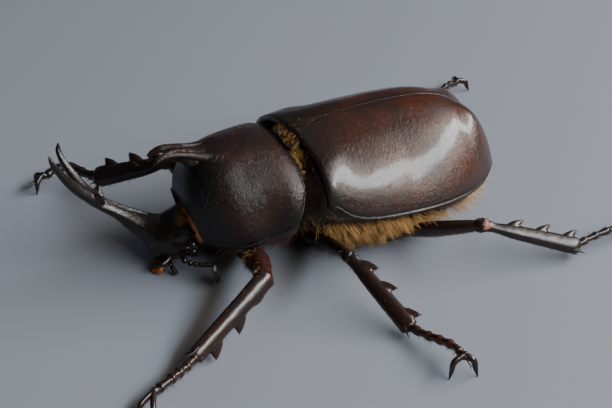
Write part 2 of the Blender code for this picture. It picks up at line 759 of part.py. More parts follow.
def make_antenna(name, side):
    """A stalk, a short chain of beads and the club of three plates."""
    plane = Vector((0, 1, 0))
    rows = smooth_rows(mirrored(ANTENNA_STALK_ROWS, side), 10)
    for i, row in enumerate(rows):
        if i >= ANTENNA_BEADS["from_row"]:
            swell = ANTENNA_BEADS["swell"] if i % 2 else -ANTENNA_BEADS["waist"]
            row[3] += swell
            row[4] += swell
    antenna = piece(name, tube(head_rows(rows), 5, plane, round_end=True), "shell_dark")
    plates = []
    for index in (-1, 0, 1):
        plate = [
            (side * left, ahead + apart * index, up, across, deep)
            for left, ahead, up, across, deep, apart in CLUB_PLATE_ROWS
        ]
        plates.append(tube(head_rows(plate), 5, plane, round_end=True))
    fuse(antenna, plates)
    return antenna


def make_palp(name, side):
    rows = head_rows(mirrored(PALP_ROWS, side))
    return piece(name, tube(rows, 6, head_axis(), round_end=True), "shell_dark")


def make_mouth_brush():
    """The orange feeding brush under the front of the head, as locks on a short base."""
    brush = piece("mouth_brush", tube(head_rows(BRUSH_ROWS), 8, head_axis(), round_end=True), "brush")
    locks = []
    middle = (BRUSH_LOCKS["count"] - 1) / 2
    for index in range(BRUSH_LOCKS["count"]):
        spread = (index - middle) / middle
        left, ahead, up = BRUSH_LOCKS["root"]
        root = head_place(left + 0.9 * spread, ahead - 0.3 * spread, up)
        left, ahead, up = BRUSH_LOCKS["tip"]
        tip = head_place(left + 1.5 * spread, ahead - 1.5 * max(spread, 0), up - 0.2 * spread)
        tip.z = max(tip.z, HEAD_CLEARANCE)
        locks.append(spine(root, tip, BRUSH_LOCKS["radius"]))
    fuse(brush, locks)
    return brush


# Legs

def leg_plane(root, knee, ankle):
    return (knee - root).cross(ankle - knee).normalized()


def make_coxa(name, root, knee, plane):
    along = (knee - root).normalized()
    rows = [(*(root + along * reach), across, deep) for reach, across, deep in COXA_ROWS]
    return piece(name, tube(rows, 8, plane, round_end=True), "leg")


def make_femur(name, root, knee, plane, sizes):
    across, deep = sizes["femur"]
    rows = []
    length = (knee - root).length
    along = (knee - root).normalized()
    bow = along.cross(plane) * sizes["bow"]
    for place, thick in FEMUR_SWELL:
        centre = root + along * length * place + bow * math.sin(math.pi * place)
        flatness = FEMUR_FLATNESS + (1 - FEMUR_FLATNESS) * thick
        rows.append((*centre, across * flatness, deep * thick))
    return piece(name, tube(rows, 8, plane, round_start=True, round_end=True), "leg")


def make_tibia(name, knee, ankle, plane, sizes, turn):
    """A shin that widens to its end, with teeth on its outer edge and spurs at the tip, and its bare form."""
    base_across, base_deep = sizes["tibia"]
    apex_across, apex_deep = sizes["apex"]
    along = (ankle - knee).normalized()
    length = (ankle - knee).length
    outward = along.cross(plane).normalized() * math.cos(turn) + plane * math.sin(turn)
    flat = outward.cross(along)
    rows = []
    for place, grow in TIBIA_GROWTH:
        centre = knee + along * length * place
        across = base_across + (apex_across - base_across) * grow
        rows.append((*centre, across, base_deep + (apex_deep - base_deep) * grow))
    shin = piece(name, tube(rows, 7, flat), "leg")
    plain = shin.data.copy()
    bodies = []
    for tooth, place in enumerate(sizes["teeth"]):
        reach = apex_deep * TOOTH["tip_out"] + TOOTH["reach"] - TOOTH["less"] * tooth
        foot = knee + along * (length * place - TOOTH["root_back"]) + outward * apex_deep * TOOTH["root_in"]
        tip = knee + along * (length * place + TOOTH["tip_on"]) + outward * reach
        tip.z = max(tip.z, LEAST_TIP_Z)
        bodies.append(spine(foot, tip, TOOTH["radius"], bend=-along * TOOTH["bow"]))
    for side in (-1, 1):
        foot = ankle - along * SPUR["back"] + flat * side * apex_across * SPUR["root_side"]
        foot -= outward * apex_deep * SPUR["root_in"]
        tip = ankle + along * SPUR["on"] + flat * side * SPUR["tip_side"] - outward * apex_deep * SPUR["tip_in"]
        tip.z = max(tip.z, LEAST_TIP_Z)
        bodies.append(spine(foot, tip, SPUR["radius"]))
    fuse(shin, bodies)
    return shin, plain


def make_tarsus(name, ankle, bow, plane):
    """Five foot joints, each flaring to its end, the last one the longest."""
    way = smooth_rows([tuple(ankle), *bow], TARSUS_READS + 1)
    rows = []
    for start, end, flare in zip(TARSUS_ENDS, TARSUS_ENDS[1:], TARSUS_FLARE):
        for place, radius in ((0.04, TARSUS_SLIM), (0.55, TARSUS_SLIM + 0.1), (0.88, flare)):
            x, y, z = way[round((start + (end - start) * place) * TARSUS_READS)]
            rows.append((x, y, z, radius, radius))
    rows[0] = (*ankle, TARSUS_END, TARSUS_END)
    rows.append((*way[-1], TARSUS_END, TARSUS_END))
    return piece(name, tube(rows, 5, plane, round_end=True), "leg")


def make_claws(name, before, joint, tips):
    """A pair of hooks on a short root, standing on their cut tips."""
    up = Vector((0, 0, 1))
    heading = Vector((joint.x - before.x, joint.y - before.y, 0)).normalized()
    size = CLAW_ROOT["radius"]
    root = [(*(joint + heading * reach), size, size) for reach in (-CLAW_ROOT["back"], CLAW_ROOT["on"])]
    claws = piece(name, tube(root, 6, up, round_end=True), "leg")
    hooks = []
    start = joint + heading * CLAW_ROOT["hooks_from"]
    for tip in tips:
        out = Vector(tip) - start
        level = CLAW_HOOK["knuckle_out"]
        knuckle = start + Vector((out.x * level, out.y * level, out.z * CLAW_HOOK["knuckle_down"]))
        end = Vector(tip) - up * CLAW_HOOK["below_floor"]
        way = (start - out.normalized() * 0.1, knuckle, knuckle.lerp(end, 0.55), end)
        rows = [(*spot, *half_sizes) for spot, half_sizes in zip(way, CLAW_SIZES)]
        hooks.append(tube(smooth_rows(rows, 5), 5, up.cross(out).normalized()))
    fuse(claws, hooks)
    return claws


def make_leg(leg, carriers):
    root, knee, ankle, bow, tips = LEGS[leg]
    root, knee, ankle = Vector(root), Vector(knee), Vector(ankle)
    sizes = LEG_SIZES[leg.split("_")[0]]
    plane = leg_plane(root, knee, ankle)
    coxa = make_coxa("coxa_" + leg, root, knee, plane)
    femur = make_femur("femur_" + leg, root, knee, plane, sizes)
    tibia, shin = make_tibia("tibia_" + leg, knee, ankle, plane, sizes, TEETH_TURN[leg])
    tarsus = make_tarsus("tarsus_" + leg, ankle, bow, plane)
    before = Vector(bow[-2])
    claws = make_claws("claws_" + leg, before, Vector(bow[-1]), tips)
    chain = [coxa, femur, tibia, tarsus, claws]
    whole = [coxa.data.copy(), femur.data.copy(), shin, tarsus.data.copy()]
    clear_of(coxa, carriers)
    clear_of(femur, [whole[0], *carriers])
    clear_of(tibia, [whole[1]])
    clear_of(tarsus, [whole[2]])
    clear_of(claws, [whole[3]])
    for item in chain[2:]:
        cut_flat_at_floor(item)
    return chain


def make_beetle():
    thorax = make_thorax()
    abdomen = make_abdomen()
    pronotum = make_pronotum()
    prosternum = make_prosternum()
    scutellum = make_scutellum()
    whole = {item.name: item.data.copy() for item in (thorax, abdomen, pronotum, prosternum, scutellum)}
    clear_of(prosternum, [whole["pronotum"]])
    clear_of(scutellum, [whole["thorax"]])
    parts = [thorax, abdomen, pronotum, prosternum, scutellum]
    for name, side in (("elytron_left", 1), ("elytron_right", -1)):
        elytron = make_elytron(name, side)
        clear_of(elytron, [whole["scutellum"]])
        parts.append(elytron)
    pygidium = make_pygidium()
    parts.append(pygidium)
    thoracic_horn = make_thoracic_horn()
    clear_of(thoracic_horn, [whole["pronotum"]])
    parts.append(thoracic_horn)
    head = make_head()
    whole_head = head.data.copy()
    clear_of(head, [whole["pronotum"], whole["prosternum"]])
    head_horn = make_head_horn()
    clear_of(head_horn, [whole_head])
    parts += [head, head_horn]
    for name, side in (("left", 1), ("right", -1)):
        eye = make_eye("eye_" + name, side)
        whole_eye = eye.data.copy()
        clear_of(eye, [whole_head, whole["pronotum"], whole["prosternum"]])
        antenna = make_antenna("antenna_" + name, side)
        clear_of(antenna, [whole_head, whole_eye, whole["pronotum"], whole["prosternum"]])
        palp = make_palp("palp_" + name, side)
        whole_palp = palp.data.copy()
        clear_of(palp, [whole_head])
        parts += [eye, antenna, palp]
        whole["palp_" + name] = whole_palp
    brush = make_mouth_brush()
    clear_of(brush, [whole_head, whole["palp_left"], whole["palp_right"]])
    parts.append(brush)
    for leg in LEGS:
        carriers = ["pronotum", "prosternum"] if leg.startswith("fore") else ["thorax", "abdomen"]
        parts += make_leg(leg, [whole[name] for name in carriers])
    return parts


def main():
    clear_scene()
    stance = bpy.data.objects.new("stance", None)
    bpy.context.scene.collection.objects.link(stance)
    stance.location = (CENTRE_LINE_X, WAIST_Y, 0)
    for item in make_beetle():
        item.parent = stance
        shade(item)


main()
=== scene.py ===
import json
import math

import bmesh
import bpy
import numpy as np
from mathutils import Matrix, Vector, noise
from mathutils.bvhtree import BVHTree

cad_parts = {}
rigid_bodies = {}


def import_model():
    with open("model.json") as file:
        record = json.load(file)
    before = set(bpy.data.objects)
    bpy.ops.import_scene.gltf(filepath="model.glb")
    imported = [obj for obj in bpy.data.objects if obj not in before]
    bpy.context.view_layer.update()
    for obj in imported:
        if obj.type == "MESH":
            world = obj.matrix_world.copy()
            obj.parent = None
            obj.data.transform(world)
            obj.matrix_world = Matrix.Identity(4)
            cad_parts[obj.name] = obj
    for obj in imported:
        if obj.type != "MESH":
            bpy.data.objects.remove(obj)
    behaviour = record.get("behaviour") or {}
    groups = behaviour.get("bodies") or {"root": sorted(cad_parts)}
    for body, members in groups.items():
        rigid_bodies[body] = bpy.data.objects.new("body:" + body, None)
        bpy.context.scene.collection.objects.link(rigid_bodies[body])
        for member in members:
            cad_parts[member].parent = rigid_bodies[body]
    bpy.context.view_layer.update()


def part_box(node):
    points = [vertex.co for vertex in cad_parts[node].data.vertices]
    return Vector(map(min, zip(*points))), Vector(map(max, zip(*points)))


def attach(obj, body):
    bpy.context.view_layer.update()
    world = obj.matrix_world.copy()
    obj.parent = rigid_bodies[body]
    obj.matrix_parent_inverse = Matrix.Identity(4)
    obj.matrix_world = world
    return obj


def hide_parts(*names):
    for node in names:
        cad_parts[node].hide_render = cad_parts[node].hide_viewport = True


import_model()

# A male rhinoceros beetle at life size. Shapes are worked out in millimetres from the
# beetle's waist: the head towards -Y, its left side towards +X, the floor at 0.
mm = 0.001
leftCase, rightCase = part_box("elytron_left"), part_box("elytron_right")
collarDepth = 0.95
centreX = (leftCase[0].x + rightCase[1].x) / 2 / mm
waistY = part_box("thorax")[0].y / mm + collarDepth
print("frame loaded, centre line", round(centreX, 2), "waist", round(waistY, 2))


# Making shapes

def inMetres(x, y, z):
    return (x + centreX) * mm, (y + waistY) * mm, z * mm


def fromWaist(spot):
    return Vector((spot.x / mm - centreX, spot.y / mm - waistY, spot.z / mm))


def within(value, low=0.0, high=1.0):
    return min(max(value, low), high)


def raisedTo(value, power):
    # keeps the sign
    return math.copysign(abs(value) ** power, value)


def keptOver(spot, height):
    spot.z = max(spot.z, height)
    return spot


def bell(value, centre, width):
    return np.exp(-((value - centre) / width) ** 2)


def hump(across, along, size):
    # size holds the height, the place and width across, and the place and length along
    height, acrossAt, width, alongAt, length = size
    return height * bell(across, acrossAt, width) * bell(along, alongAt, length)


def smoothRows(rows, count):
    # rows read at even steps along a smooth curve through them
    last = len(rows) - 1
    read = []
    for step in range(count):
        place = step * last / (count - 1)
        i = min(int(place), last - 1)
        t = place - i
        around = (rows[max(i - 1, 0)], rows[i], rows[i + 1], rows[min(i + 2, last)])
        read.append([
            0.5 * (2 * b + (c - a) * t + (2 * a - 5 * b + 4 * c - d) * t * t
                   + (3 * b - a - 3 * c + d) * t ** 3)
            for a, b, c, d in zip(*around)
        ])
    return read


def loftForm(rings, arch=False):
    # closed form through rings of equally many points, as (points, faces)
    count = len(rings[0])
    points = [tuple(point) for ring in rings for point in ring]
    faces = []
    for row in range(len(rings) - 1):
        for i in range(count):
            j = (i + 1) % count
            faces.append((row * count + i, row * count + j, (row + 1) * count + j, (row + 1) * count + i))
    for row in (0, len(rings) - 1):
        base = row * count
        if arch:
            for i in range(count // 2 - 1):
                faces.append((base + i, base + i + 1, base + count - 2 - i, base + count - 1 - i))
            continue
        middle = [sum(values) / count for values in zip(*rings[row])]
        points.append(tuple(middle))
        for i in range(count):
            faces.append((base + i, base + (i + 1) % count, len(points) - 1))
    return points, faces


def tubeForm(rows, sides, plane, roundStart=True, roundEnd=True, square=1.0):
    # rows hold x, y, z, half size across the plane and half size in it
    spots = [Vector(row[:3]) for row in rows]
    rings = []
    last = len(spots) - 1
    caps = [(-math.cos(a), math.sin(a)) for a in (0.22, 0.55, 0.9, 1.25)]
    for i, row in enumerate(rows):
        along = (spots[min(i + 1, last)] - spots[max(i - 1, 0)]).normalized()
        across = (plane - along * plane.dot(along)).normalized()
        rise = along.cross(across)
        shifts = [(0.0, 1.0)]
        if i == 0 and roundStart:
            shifts = caps + shifts
        if i == last and roundEnd:
            shifts = shifts + [(-ahead, scale) for ahead, scale in reversed(caps)]
        for ahead, scale in shifts:
            centre = spots[i] + along * ahead * min(row[3], row[4])
            ring = []
            for k in range(sides):
                angle = 2 * math.pi * k / sides
                c, s = raisedTo(math.cos(angle), square), raisedTo(math.sin(angle), square)
                ring.append(centre + across * c * row[3] * scale + rise * s * row[4] * scale)
            rings.append(ring)
    return loftForm(rings)


def thornForm(root, tip, radius, bend=Vector((0, 0, 0)), sides=8, flat=1.0, steps=7, tipShare=0.08):
    along = (tip - root).normalized()
    across = along.orthogonal().normalized()
    if bend.length > 0:
        across = along.cross(bend).normalized()
    rows = []
    for step in range(steps):
        place = step / (steps - 1)
        size = radius * (1 - (1 - tipShare) * place ** 1.25)
        rows.append((*(root.lerp(tip, place) + bend * math.sin(math.pi * place)), size * flat, size))
    return tubeForm(rows, sides, across, roundStart=False)


def beadForm(centre, axis, length, radius, rings=9, sides=16):
    # a rounded grain along an axis
    axis = Vector(axis).normalized()
    rows = []
    for step in range(rings):
        place = -1 + 2 * (step + 0.5) / rings
        size = radius * math.sqrt(max(1 - place * place, 0.02))
        rows.append((*(centre + axis * place * length / 2), size, size))
    return tubeForm(rows, sides, axis.orthogonal(), roundStart=False, roundEnd=False)


def joinedForm(forms):
    points, faces = [], []
    for more, corners in forms:
        start = len(points)
        points += [tuple(point) for point in more]
        faces += [tuple(start + index for index in face) for face in corners]
    return points, faces


def newObject(name, data):
    made = bpy.data.objects.new(name, data)
    bpy.context.scene.collection.objects.link(made)
    return made


def newPiece(name, form, finish, nodes=()):
    points, faces = form
    mesh = bpy.data.meshes.new(name)
    mesh.from_pydata([inMetres(*point) for point in points], [], faces)
    body = bmesh.new()
    body.from_mesh(mesh)
    bmesh.ops.recalc_face_normals(body, faces=body.faces)
    body.to_mesh(mesh)
    body.free()
    mesh.shade_smooth()
    piece = newObject(name, mesh)
    mesh.materials.append(finish)
    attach(piece, "root")
    if nodes:
        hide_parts(*nodes)
    return piece


def moulded(name, forms, voxel, smoothing, finish, nodes, relief, sharp=()):
    # overlapping closed forms melted into one skin, smoothed, then given a relief in mm;
    # sharp forms join it as they are
    piece = newPiece(name, joinedForm(forms), finish, nodes)
    melt = piece.modifiers.new("melt", "REMESH")
    melt.mode = "VOXEL"
    melt.voxel_size = voxel * mm
    graph = bpy.context.evaluated_depsgraph_get()
    mesh = bpy.data.meshes.new_from_object(piece.evaluated_get(graph))
    piece.modifiers.clear()
    body = bmesh.new()
    body.from_mesh(mesh)
    for _ in range(smoothing):
        bmesh.ops.smooth_vert(
            body, verts=body.verts, factor=0.5, use_axis_x=True, use_axis_y=True, use_axis_z=True)
    body.normal_update()
    moves = [vert.normal * relief(fromWaist(vert.co), vert.normal) * mm for vert in body.verts]
    for vert, move in zip(body.verts, moves):
        vert.co += move
    for points, faces in sharp:
        made = [body.verts.new(inMetres(*point)) for point in points]
        added = [body.faces.new([made[index] for index in face]) for face in faces]
        bmesh.ops.recalc_face_normals(body, faces=added)
    for vert in body.verts:
        keptOver(vert.co, 0.0)
    body.to_mesh(mesh)
    body.free()
    old = piece.data
    piece.data = mesh
    bpy.data.meshes.remove(old)
    mesh.materials.clear()
    mesh.materials.append(finish)
    mesh.shade_smooth()
    return piece


def setMarks(mesh, name, values):
    # a value per point that its material reads
    marks = mesh.attributes.new(name, "FLOAT", "POINT")
    marks.data.foreach_set("value", np.asarray(values, np.float32).ravel())


def filleted(first, second, reach):
    # two touching pieces swell where they meet, so that one grows out of the other
    pairs = []
    for piece, other in ((first, second), (second, first)):
        body = bmesh.new()
        body.from_mesh(other.data)
        pairs.append((piece, BVHTree.FromBMesh(body)))
        body.free()
    moves = []
    for piece, tree in pairs:
        for vert in piece.data.vertices:
            spot, _, _, gap = tree.find_nearest(vert.co, reach * mm)
            if spot:
                moves.append((vert, vert.normal * reach / 4 * (1 - gap / (reach * mm)) ** 2 * mm))
    for vert, move in moves:
        vert.co += move


# Camera, light and floor

view = {
    "place": (168.78, -62.25, 112.04),  # from the waist on the centre line
    "yaw": 69.03, "pitch": 30.66, "roll": -1.83,
    "focalPixels": 1466, "imageWidth": 612, "sensor": 36.0, "near": 0.01, "far": 20,
}


def setCamera():
    yaw, pitch, roll = (math.radians(view[key]) for key in ("yaw", "pitch", "roll"))
    ahead = Vector((-math.sin(yaw) * math.cos(pitch), math.cos(yaw) * math.cos(pitch), -math.sin(pitch)))
    right = Vector((math.cos(yaw), math.sin(yaw), 0))
    up = right.cross(ahead)
    turnedRight = right * math.cos(roll) + up * math.sin(roll)
    turnedUp = up * math.cos(roll) - right * math.sin(roll)
    camera = newObject("camera", bpy.data.cameras.new("camera"))
    camera.data.sensor_width = view["sensor"]
    camera.data.lens = view["focalPixels"] * view["sensor"] / view["imageWidth"]
    camera.data.clip_start = view["near"]
    camera.data.clip_end = view["far"]
    turn = Matrix((turnedRight, turnedUp, -ahead)).transposed().to_4x4()
    camera.matrix_world = Matrix.Translation(inMetres(*view["place"])) @ turn
    bpy.context.scene.camera = camera


softboxes = {
    # aim from, in mm; size in mm; power in watts; colour
    "window": ((228, 326, 311), (900, 110), 7.2, (0.84, 0.92, 1.0)),
    "windowGlow": ((226, 323, 308), (900, 340), 2.6, (1.0, 0.74, 0.48)),
    "ceiling": ((-130, 90, 430), (500, 500), 0.14, (0.95, 0.97, 1.0)),
}
room = {"aimZ": 8, "colour": (0.62, 0.68, 0.78), "strength": 0.07}


def setLights():
    for name, (spot, size, power, colour) in softboxes.items():
        light = bpy.data.lights.new(name, "AREA")
        light.shape = "RECTANGLE"
        light.size, light.size_y = size[0] * mm, size[1] * mm
        light.energy = power
        light.color = colour
        lamp = newObject(name, light)
        lamp.location = Vector(spot) * mm
        way = Vector((0, 0, room["aimZ"])) * mm - lamp.location
        lamp.rotation_euler = way.to_track_quat("-Z", "Y").to_euler()
    world = bpy.data.worlds.new("studio")
    bpy.context.scene.world = world
    world.use_nodes = True
    back = world.node_tree.nodes["Background"]
    back.inputs["Color"].default_value = (*room["colour"], 1)
    back.inputs["Strength"].default_value = room["strength"]


floorLook = {"half": 1200, "colour": (0.188, 0.206, 0.24), "roughness": 0.8}


def newMaterial(name):
    material = bpy.data.materials.new(name)
    material.use_nodes = True
    return material, material.node_tree.nodes["Principled BSDF"]


def makeFloor():
    mesh = bpy.data.meshes.new("floor")
    half = floorLook["half"] * mm
    corners = [(-half, -half, 0), (half, -half, 0), (half, half, 0), (-half, half, 0)]
    mesh.from_pydata(corners, [], [(0, 1, 2, 3)])
    floor = newObject("floor", mesh)
    material, shader = newMaterial("floor")
    shader.inputs["Base Color"].default_value = (*floorLook["colour"], 1)
    shader.inputs["Roughness"].default_value = floorLook["roughness"]
    mesh.materials.append(material)


setCamera()
setLights()
makeFloor()
print("camera, light and floor set")


# Shared shader groups

class Wiring:
    # short calls for building one node tree
    def __init__(self, tree):
        self.tree = tree

    def plug(self, value, socket):
        if hasattr(value, "links"):
            self.tree.links.new(value, socket)
        else:
            socket.default_value = value

    def node(self, kind, inputs=None, **settings):
        made = self.tree.nodes.new(kind)
        for key, value in settings.items():
            setattr(made, key, value)
        for key, value in (inputs or {}).items():
            self.plug(value, made.inputs[key])
        return made

    def sum(self, kind, a, b, clamp=False):
        return self.node("ShaderNodeMath", {0: a, 1: b}, operation=kind, use_clamp=clamp).outputs[0]

    def ramp(self, value, low, high, start=0.0, end=1.0, shape="LINEAR"):
        return self.node("ShaderNodeMapRange", {
            "Value": value, "From Min": low, "From Max": high, "To Min": start, "To Max": end,
        }, interpolation_type=shape).outputs["Result"]

    def mix(self, share, a, b):
        a, b = (value if hasattr(value, "links") else (*value, 1) for value in (a, b))
        return self.node("ShaderNodeMix", {0: share, 6: a, 7: b}, data_type="RGBA").outputs[2]


def newGroup(name, takes, gives):
    group = bpy.data.node_groups.new(name, "ShaderNodeTree")
    group.interface.new_socket(name="Place", in_out="INPUT", socket_type="NodeSocketVector")
    for label, value in takes.items():
        socket = group.interface.new_socket(name=label, in_out="INPUT", socket_type="NodeSocketFloat")
        socket.default_value = value
    for label in gives:
        group.interface.new_socket(name=label, in_out="OUTPUT", socket_type="NodeSocketFloat")
    wires = Wiring(group)
    return group, wires, wires.node("NodeGroupInput").outputs, wires.node("NodeGroupOutput").inputs


def makePitting():
    # small round pits with wrinkled skin between them, as on a wing case
    group, wires, enter, leave = newGroup("pitting", {
        "Pits Per Metre": 2600.0, "Pit Size": 0.32, "Pit Depth": 0.6, "Wrinkle Scale": 900.0,
        "Wrinkle Depth": 0.5}, ["Height", "Pit Mask"])
    pits = wires.node("ShaderNodeTexVoronoi", {
        "Vector": enter["Place"], "Scale": enter["Pits Per Metre"], "Randomness": 0.9}, feature="F1")
    well = wires.ramp(pits.outputs["Distance"], 0.0, enter["Pit Size"], 1.0, 0.0, "SMOOTHSTEP")
    fold = wires.node("ShaderNodeTexNoise", {
        "Vector": enter["Place"], "Scale": enter["Wrinkle Scale"], "Detail": 5.0, "Roughness": 0.62,
        "Distortion": 1.2})
    rise = wires.sum("MULTIPLY", fold.outputs["Fac"], enter["Wrinkle Depth"])
    drop = wires.sum("MULTIPLY", well, enter["Pit Depth"])
    wires.plug(wires.sum("SUBTRACT", rise, drop), leave["Height"])
    wires.plug(well, leave["Pit Mask"])
    return group


def makeToneDrift():
    # slow changes of tone across a plate
    group, wires, enter, leave = newGroup(
        "tone drift", {"Scale": 220.0, "Low": 0.35, "High": 0.65}, ["Share"])
    cloud = wires.node("ShaderNodeTexNoise", {
        "Vector": enter["Place"], "Scale": enter["Scale"], "Detail": 3.0, "Roughness": 0.55})
    share = wires.ramp(cloud.outputs["Fac"], enter["Low"], enter["High"], shape="SMOOTHSTEP")
    wires.plug(share, leave["Share"])
    return group


def makeEdgeWear():
    # ridges and rims, where the dark skin is rubbed thin
    group, wires, enter, leave = newGroup(
        "edge wear", {"Start": 0.53, "Full": 0.62, "Broken Up": 0.5, "Rub Scale": 1400.0}, ["Mask"])
    shape = wires.node("ShaderNodeNewGeometry")
    edge = wires.ramp(shape.outputs["Pointiness"], enter["Start"], enter["Full"])
    rub = wires.node("ShaderNodeTexNoise", {
        "Vector": enter["Place"], "Scale": enter["Rub Scale"], "Detail": 4.0, "Roughness": 0.7})
    loss = wires.sum("MULTIPLY", rub.outputs["Fac"], enter["Broken Up"])
    wires.plug(wires.sum("SUBTRACT", edge, loss, clamp=True), leave["Mask"])
    return group


def makeDust():
    # stray pale specks that lie in patches
    group, wires, enter, leave = newGroup(
        "dust", {"Specks Per Metre": 520.0, "Speck Size": 0.03, "Patch Scale": 160.0}, ["Mask"])
    specks = wires.node("ShaderNodeTexVoronoi", {
        "Vector": enter["Place"], "Scale": enter["Specks Per Metre"], "Randomness": 1.0}, feature="F1")
    close = wires.ramp(specks.outputs["Distance"], 0.0, enter["Speck Size"], 1.0, 0.0)
    patches = wires.node("ShaderNodeTexNoise", {
        "Vector": enter["Place"], "Scale": enter["Patch Scale"], "Detail": 2.0})
    some = wires.ramp(patches.outputs["Fac"], 0.52, 0.6)
    wires.plug(wires.sum("MULTIPLY", close, some), leave["Mask"])
    return group


pitting, toneDrift, edgeWear, dust = makePitting(), makeToneDrift(), makeEdgeWear(), makeDust()
pitValues = ("Pits Per Metre", "Pit Size", "Pit Depth", "Wrinkle Scale", "Wrinkle Depth")
plainShell = {
    # what a finish has unless it says otherwise
    "coat": 0.0, "coatRoughness": 0.15, "gloss": 0.5, "specks": 520.0, "speckTone": (0.55, 0.55, 0.55),
    "speckRoughness": 0.4, "pitShade": 0.45, "smoother": 0.04, "rougher": 0.05,
}


def shellFinish(name, look):
    # hard shell: two tones drifting, darker at marked borders, pitted and wrinkled with painted shade in the
    # pits, and with rubbed edges
    look = {**plainShell, **look}
    material, shader = newMaterial(name)
    wires = Wiring(material.node_tree)
    place = wires.node("ShaderNodeTexCoord").outputs["Object"]

    def grouped(group, values=()):
        return wires.node("ShaderNodeGroup", {"Place": place, **dict(values)}, node_tree=group).outputs

    drift = grouped(toneDrift)["Share"]
    colour = wires.mix(drift, look["tone"], look["toneTwo"])
    if "border" in look:
        mark = wires.node("ShaderNodeAttribute", attribute_name="border")
        colour = wires.mix(mark.outputs["Fac"], colour, look["border"])
    grain = grouped(pitting, zip(pitValues, look["pits"]))
    # painted shade: the pits are painted darker, as shade in the hollows
    colour = wires.mix(wires.sum("MULTIPLY", grain["Pit Mask"], look["pitShade"]), colour, look["pitShadeTone"])
    worn = wires.sum("MULTIPLY", grouped(edgeWear)["Mask"], look["wear"])
    colour = wires.mix(worn, colour, look["wearTone"])
    specks = grouped(dust, {"Specks Per Metre": look["specks"]})["Mask"]
    wires.plug(wires.mix(specks, colour, look["speckTone"]), shader.inputs["Base Color"])
    roughest = look["roughness"] + look["rougher"]
    rough = wires.ramp(drift, 0.0, 1.0, look["roughness"] - look["smoother"], roughest)
    rough = wires.sum("ADD", rough, wires.sum("MULTIPLY", specks, look["speckRoughness"]))
    wires.plug(rough, shader.inputs["Roughness"])
    shader.inputs["Coat Weight"].default_value = look["coat"]
    shader.inputs["Coat Roughness"].default_value = look["coatRoughness"]
    shader.inputs["Specular IOR Level"].default_value = look["gloss"]
    bump = wires.node("ShaderNodeBump", {
        "Strength": look["bump"], "Distance": look["bumpDepth"] * mm, "Height": grain["Height"]})
    wires.plug(bump.outputs["Normal"], shader.inputs["Normal"])
    return material


def hairFinish(name, look):
    # each hair has its own tone, and painted shade darkens it towards its root
    material, shader = newMaterial(name)
    wires = Wiring(material.node_tree)
    own, reach = (
        wires.node("ShaderNodeAttribute", attribute_name=mark).outputs["Fac"] for mark in ("tone", "reach"))
    colour = wires.mix(own, look["tone"], look["toneTwo"])
    # painted shade: the lower part of each hair is darkened towards its root
    colour = wires.mix(wires.ramp(reach, 0.0, 0.45, 0.75, 0.0), colour, look["rootShade"])
    wires.plug(colour, shader.inputs["Base Color"])
    rough = wires.ramp(own, 0.0, 1.0, look["roughness"], look["roughness"] + 0.12)
    wires.plug(rough, shader.inputs["Roughness"])
    shader.inputs["Specular IOR Level"].default_value = 0.45
    return material


